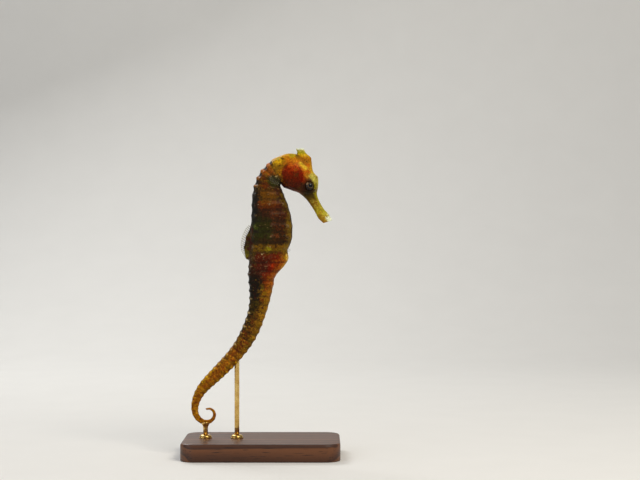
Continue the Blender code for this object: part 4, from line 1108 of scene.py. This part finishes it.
def buildPectoralFin(name, side):
    # a fan square to the body's own direction on the neck, splayed outwards
    shape = finShape
    back, belly, _ = outline(np.array([2.0]))
    down = (belly - back)[0] / np.linalg.norm(belly - back)
    across = np.array((down[0], 0.0, down[1]))
    splay = np.radians(shape["pectoralSplay"])
    along = np.array((down[1] * np.cos(splay), side * np.sin(splay), -down[0] * np.cos(splay)))
    lines = fanLines(np.array(shape["pectoralRoot"]) * (1, side, 1), along, across, shape["pectoralLength"],
                     shape["pectoralFan"], shape["pectoralRootHalf"])
    return sheetMesh(name, *finGrid(*lines, shape["pectoralRays"], 20, shape["pectoralBow"] * side))


def buildAnalFin():
    # a small fan that points forward and down
    shape = finShape
    drop = np.radians(shape["analDrop"])
    along = np.array((np.cos(drop), 0.0, -np.sin(drop)))
    across = np.array((np.sin(drop), 0.0, np.cos(drop)))
    lines = fanLines(np.array(shape["analRoot"]), along, across, shape["analLength"], shape["analFan"],
                     shape["analRootHalf"], 5)
    return sheetMesh("sheet_anal_fin", *finGrid(*lines, shape["analRays"], 12))


def finMaterial(name, pale, dark, strength):
    # fin web: clear between fine rays that are jointed in dark and light dashes 0.45 mm long
    material, tree, shader = newMaterial(name, Roughness=0.35, IOR=1.38, Coat_Weight=0.2, Coat_Roughness=0.15)
    place = addNode(tree, "TexCoord", give="Object")
    ray, out, along = (addNode(tree, "Attribute", give="Fac", attribute_name=field)
                       for field in ("ray", "out", "along"))
    mottle = addNode(tree, "TexNoise", {"Vector": place, "Scale": perMetre(0.9), "Detail": 3.0})
    dash = addNode(tree, "Math", {0: along, 1: np.pi / finShape["dash"]}, operation="MULTIPLY")
    dash = addNode(tree, "Math", {0: dash}, operation="SINE")
    outer, onRay, base = (maskOf(tree, step)
                          for step in ((out, 0.35, 0.7), (ray, 0.15, 0.5), (out, 0.35, 0.05)))
    rays = paintOver(tree, linear(dark), (pale, (dash, -0.5, 0.2), outer))
    colour = paintOver(tree, colourAlong(tree, mottle, ((0.35, "#4E4626"), (0.65, "#807850"))),
                       (rays, onRay), ("#5E4A18", base, 0.8))
    # the outer rays are solid, their lower half and the web are seen through, the root is fleshy
    solid = addNode(tree, "Math", {0: outer, 1: 0.5, 2: 0.5}, operation="MULTIPLY_ADD")
    alpha = 0.07
    for cover in (maskOf(tree, onRay, solid), maskOf(tree, base, 0.5)):
        alpha = addNode(tree, "Math", {0: cover, 1: alpha}, operation="ADD", use_clamp=True)
    return finishMaterial(material, shader, Base_Color=colour, Alpha=maskOf(tree, alpha, strength))


finish(buildDorsalFin(), finMaterial("finWebJointed", "#E9E4CC", "#6E6648", 0.95), "dorsal_fin", "dorsal_fin")
clearFin = finMaterial("finWebClear", "#5E5430", "#241E0C", 0.3)
finish(buildAnalFin(), clearFin, "anal_fin", "anal_fin")
for sideName, side in (("left", 1), ("right", -1)):
    node = "pectoral_fin_" + sideName
    finish(buildPectoralFin("sheet_" + node, side), clearFin, node, node)
print("fins done")


# the stand
standShape = {
    "corner": 7.0, "edge": 1.1, "spacing": 1.2,        # board: corner and shoulder radius, points apart
    # inset and height under and round the board, and over its top beyond the shoulder
    "boardFoot": ((6.0, 0.0), (0.9, 0.0), (0.45, 0.05), (0.12, 0.2), (0.0, 0.45), (0.0, 2.4), (0.0, 4.6)),
    "boardTop": (3.0, 6.0), "inwards": (0.3, 0.65),
    "rod": 1.1, "sink": 0.6, "rodEdge": 0.3, "middle": 0.4,
    # cup of the short rod: out from the rod's or from the cup's own radius, and up from its rim
    "flare": ((0.0, -2.6), (0.05, -2.2), (0.35, -1.6)),
    "cup": ((-0.12, -0.8), (0.0, -0.35), (-0.03, -0.08), (-0.16, 0.0), (-0.3, -0.1), (-0.55, -0.5),
            (-1.0, -0.85), (-1.5, -0.95)),
    # collar: out from its radius and up from its foot, then the shoulder
    "collarSink": 0.3, "collarPlay": 0.03, "shoulderFoot": 0.8, "shoulderOut": 0.12, "shoulderIn": 0.15,
    "collarFoot": ((-0.1, 0.0), (0.0, 0.1), (0.0, 0.5), (-0.08, 0.58), (-0.3, 0.62), (-0.3, 0.74)),
}


def nodeBox(name):
    # lowest and highest corner of a solid in millimetres, and its middle seen from above
    low, high = (np.array(corner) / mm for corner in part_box(name))
    return low, high, (low + high)[:2] / 2


def buildBase():
    # a rounded oblong outline moved inwards by each inset of the edge profile and lifted to its
    # height: foot chamfer, straight side, rounded shoulder; both flat faces close to the middle
    shape = standShape
    low, high, _ = nodeBox("stand_base")
    half, height = (high - low)[:2] / 2, high[2]
    corner, edge = shape["corner"], shape["edge"]
    angle = quarterTurn(24) + np.arange(4)[:, None] * np.pi / 2
    middles = np.array(((1, 1), (-1, 1), (-1, -1), (1, -1)))[:, None] * (half - corner)
    arcs = (middles + corner * np.stack((np.cos(angle), np.sin(angle)), axis=2)).reshape(-1, 2)
    # points of their own along the straight sides
    stretch = np.roll(arcs, -1, axis=0) - arcs
    counts = np.maximum(np.linalg.norm(stretch, axis=1) // shape["spacing"], 1).astype(int)
    start = np.repeat(np.arange(len(arcs)), counts)
    share = (np.arange(len(start)) - np.repeat(np.cumsum(counts) - counts, counts)) / counts[start]
    loop = arcs[start] + stretch[start] * share[:, None]
    inward = np.clip(loop, corner - half, half - corner) - loop
    inward /= np.linalg.norm(inward, axis=1, keepdims=True)
    bend = quarterTurn(9)
    shoulder = np.column_stack((edge * (1 - np.cos(bend)), height - edge + edge * np.sin(bend)))
    profile = np.vstack((shape["boardFoot"], shoulder, [(inset, height) for inset in shape["boardTop"]]))
    rows = loop + inward * profile[:, 0, None, None]
    rows = np.dstack((rows, np.broadcast_to(profile[:, 1, None], rows.shape[:2])))
    closing = np.array([(share, share, 1.0) for share in shape["inwards"]])[:, None]
    return tubeMesh("board_base", np.concatenate((rows[0] * closing, rows, rows[-1] * closing[::-1])))


def buildRods():
    # round rods from inside the board; the tall one ends in a small round edge in the tail, the
    # short one widens into a cup under the curl
    shape = standShape
    foot = nodeBox("stand_base")[1][2] - shape["sink"]
    radius, middle, edge = shape["rod"], shape["middle"], shape["rodEdge"]
    _, high, centre = nodeBox("stand_rod_tail")
    bend, top = quarterTurn(7), high[2]
    stem = (middle, foot), (radius, foot), (radius, foot + 6), (radius, (foot + top) / 2), (radius, top - 0.5)
    tip = np.column_stack((radius - edge + edge * np.cos(bend), top - edge + edge * np.sin(bend)))
    tail = tubeMesh("brass_rod_tail", turnedGrid(np.vstack((stem, tip, (middle, top))), centre, 40))
    low, high, centre = nodeBox("stand_rod_curl")
    outer = (high[0] - low[0]) / 2
    flare, cup = (np.array(shape[key]) + (out, high[2]) for key, out in (("flare", radius), ("cup", outer)))
    profile = np.vstack(((middle, foot), (radius, foot), flare, cup))
    return tail, tubeMesh("brass_rod_curl", turnedGrid(profile, centre, 48))


def buildCollar(name, node):
    # turned collar: a foot ring, a small groove and a rounded shoulder, open for the rod
    shape = standShape
    low, high, centre = nodeBox(node)
    outer, foot, top = (high[0] - low[0]) / 2, low[2] - shape["collarSink"], high[2]
    inner, rise, bend = shape["rod"] + shape["collarPlay"], shape["shoulderFoot"], quarterTurn(8)
    start, end = inner + shape["shoulderIn"], outer - shape["shoulderOut"]
    shoulder = np.column_stack((start + (end - start) * np.cos(bend),
                                foot + rise + (top - foot - rise) * np.sin(bend)))
    foots = np.array(shape["collarFoot"]) + (outer, foot)
    ring = turnedGrid(np.vstack(((inner, foot), foots, shoulder, (inner, top - 0.08))), centre, 48)
    rows, columns = ring.shape[:2]
    index = np.arange(rows * columns).reshape(rows, columns)
    below, beside = np.roll(index, -1, axis=0), np.roll(index, -1, axis=1)
    faces = np.stack((index, beside, np.roll(below, -1, axis=1), below), axis=-1).reshape(-1, 4)
    return writeMesh(name, ring.reshape(-1, 3), (faces,))


def walnutMaterial():
    # planed and rubbed walnut under satin lacquer: brown growth bands about 2.2 mm apart with
    # dark pores drawn 0.25 by 4 mm, and a soft even shine
    material, tree, shader = newMaterial("walnutSatinLacquer", Roughness=0.5, IOR=1.5, Specular_IOR_Level=0.3,
                                         Coat_Weight=0.2, Coat_Roughness=0.24)
    place = addNode(tree, "TexCoord", give="Object")
    turned = addNode(tree, "Mapping", {"Vector": place, "Rotation": (0.85, 0.0, 0.0),
                                       "Scale": (0.07, 1.0, 1.0)})
    sway = addNode(tree, "TexNoise", {"Vector": turned, "Scale": perMetre(14.0), "Detail": 2.0}, "Color")
    shift = addNode(tree, "VectorMath", {0: sway, 1: (0.012, 0.012, 0.012)}, operation="MULTIPLY")
    moved = addNode(tree, "VectorMath", {0: turned, 1: shift}, operation="ADD")
    bands = addNode(tree, "TexWave", {"Vector": moved, "Scale": perMetre(2.2) / 20 * np.pi, "Distortion": 2.5,
                                      "Detail": 3.0, "Detail Scale": 1.2}, "Fac",
                    wave_type="BANDS", bands_direction="Y", wave_profile="SAW")
    colour = colourAlong(tree, bands, ((0.0, "#3A1F10"), (0.1, "#6A3F20"), (0.5, "#5C351A"),
                                       (0.85, "#452511"), (1.0, "#3A1F10")))
    drawn = addNode(tree, "Mapping", {"Vector": place, "Scale": (0.06, 1.0, 1.0)})
    pores = addNode(tree, "TexNoise", {"Vector": drawn, "Scale": perMetre(0.5), "Detail": 1.0})
    colour = paintOver(tree, colour, ("#24130B", (pores, 0.6, 0.68), 0.75))
    bump = addNode(tree, "Bump", {"Height": pores, "Distance": 0.03 * mm, "Strength": 0.35})
    return finishMaterial(material, shader, Base_Color=colour, Normal=bump)


def brassMaterial():
    # turned and lacquered brass: warm yellow, fine turning marks round the rod 0.3 mm apart, and
    # faint brown tarnish in clouds
    material, tree, shader = newMaterial("turnedBrass", Metallic=1.0, Roughness=0.26)
    place = addNode(tree, "TexCoord", give="Object")
    mottle = addNode(tree, "TexNoise", {"Vector": place, "Scale": perMetre(3.0), "Detail": 4.0})
    colour = colourAlong(tree, mottle, ((0.3, "#B98E45"), (0.55, "#D9B468"), (0.7, "#E2C27A")))
    rings = addNode(tree, "Mapping", {"Vector": place, "Scale": (0.05, 0.05, 1.0)})
    marks = addNode(tree, "TexNoise", {"Vector": rings, "Scale": perMetre(0.3), "Detail": 1.0})
    rough = addNode(tree, "MapRange", {"Value": marks, "From Min": 0.3, "From Max": 0.7, "To Min": 0.18,
                                       "To Max": 0.34})
    return finishMaterial(material, shader, Base_Color=colour, Roughness=rough)


walnut, brass = walnutMaterial(), brassMaterial()
finish(buildBase(), walnut, "stand_base", "stand_base")
rodTail, rodCurl = buildRods()
finish(rodTail, brass, "stand_rod_tail", "stand_rod_tail")
finish(rodCurl, brass, "stand_rod_curl", "stand_rod_curl")
for which in ("tail", "curl"):
    node = "stand_collar_" + which
    finish(buildCollar("brass_collar_" + which, node), brass, node, node)
print("stand done")


# floor, light and camera
studio = {
    "lens": 85.0, "sensor": 36.0, "distance": 695.0, "aim": (26.8, 99.1),
    # floor: its depths before the sweep, where the sweep starts, its radius, top and half width
    "floor": "#E9E8E4", "depths": (-1600.0, -600.0, 0.0), "back": 500.0, "sweep": 420.0, "top": 2600.0,
    "halfWidth": 2200.0,
    "room": "#F2F5FA", "roomStrength": 0.3, "lampAim": (0.0, 0.0, 0.085),
    # name: place in metres, power in watts, width and height, colour
    "lamps": {
        "keyAbove": ((0.42, -0.55, 0.75), 6.4, 0.5, 0.4, "#FFF6E8"),
        "fillLeft": ((-0.75, -0.6, 0.3), 2.2, 0.7, 0.7, "#EAF1FF"),
        "rimBehind": ((-0.3, 0.55, 0.6), 2.6, 0.4, 0.3, "#FFFFFF"),
    },
}


def buildFloor():
    # flat floor that sweeps up into a backdrop along a quarter circle
    bend, radius, back, depths = quarterTurn(33), studio["sweep"], studio["back"], studio["depths"]
    y = np.concatenate((depths, back + radius * np.sin(bend), (back + radius,)))[:, None]
    z = np.concatenate((np.zeros(len(depths)), radius * (1 - np.cos(bend)), (studio["top"],)))[:, None]
    x = np.linspace(-1.0, 1.0, 9)[None, :] * studio["halfWidth"]
    grid = np.stack((x + 0 * y, y + 0 * x, z + 0 * x), axis=2)
    faces, _ = gridFaces(len(y), 9, closed=False)
    return writeMesh("studio_floor", grid.reshape(-1, 3), (faces,))


def studioMaterial():
    # matt painted board, with a faint unevenness 30 mm wide
    material, tree, shader = newMaterial("mattPaintedBoard", Roughness=0.85)
    place = addNode(tree, "TexCoord", give="Object")
    cloud = addNode(tree, "TexNoise", {"Vector": place, "Scale": perMetre(30.0), "Detail": 2.0})
    tone = addNode(tree, "MapRange", {"Value": cloud, "To Min": 0.98, "To Max": 1.02})
    colour = addNode(tree, "VectorMath", {0: linear(studio["floor"])[:3], "Scale": tone}, operation="SCALE")
    return finishMaterial(material, shader, Base_Color=colour)


floor = buildFloor()
floor.data.materials.append(studioMaterial())


def buildLamp(name, place, power, width, height, tint):
    # a soft rectangular lamp turned towards the middle of the model
    light = bpy.data.lights.new(name, "AREA")
    light.shape, light.size, light.size_y = "RECTANGLE", width, height
    light.energy, light.color = power, linear(tint)[:3]
    lamp = bpy.data.objects.new(name, light)
    lamp.location = place
    aim = np.array(studio["lampAim"]) - np.array(place)
    yaw, pitch = np.arctan2(aim[1], aim[0]), np.arctan2(np.hypot(aim[0], aim[1]), -aim[2])
    lamp.rotation_euler = (pitch, 0.0, yaw - np.pi / 2)
    bpy.context.scene.collection.objects.link(lamp)


for name, values in studio["lamps"].items():
    buildLamp(name, *values)

world = bpy.data.worlds.new("softRoom")
world.use_nodes = True
room = world.node_tree.nodes["Background"]
room.inputs["Color"].default_value = linear(studio["room"])
room.inputs["Strength"].default_value = studio["roomStrength"]
bpy.context.scene.world = world
bpy.context.scene.view_settings.view_transform = "Standard"

cameraData = bpy.data.cameras.new("camera")
cameraData.lens, cameraData.sensor_width = studio["lens"], studio["sensor"]
camera = bpy.data.objects.new("camera", cameraData)
camera.location = (studio["aim"][0] * mm, -studio["distance"] * mm, studio["aim"][1] * mm)
camera.rotation_euler = (np.pi / 2, 0.0, 0.0)
bpy.context.scene.collection.objects.link(camera)
bpy.context.scene.camera = camera
print("studio done")
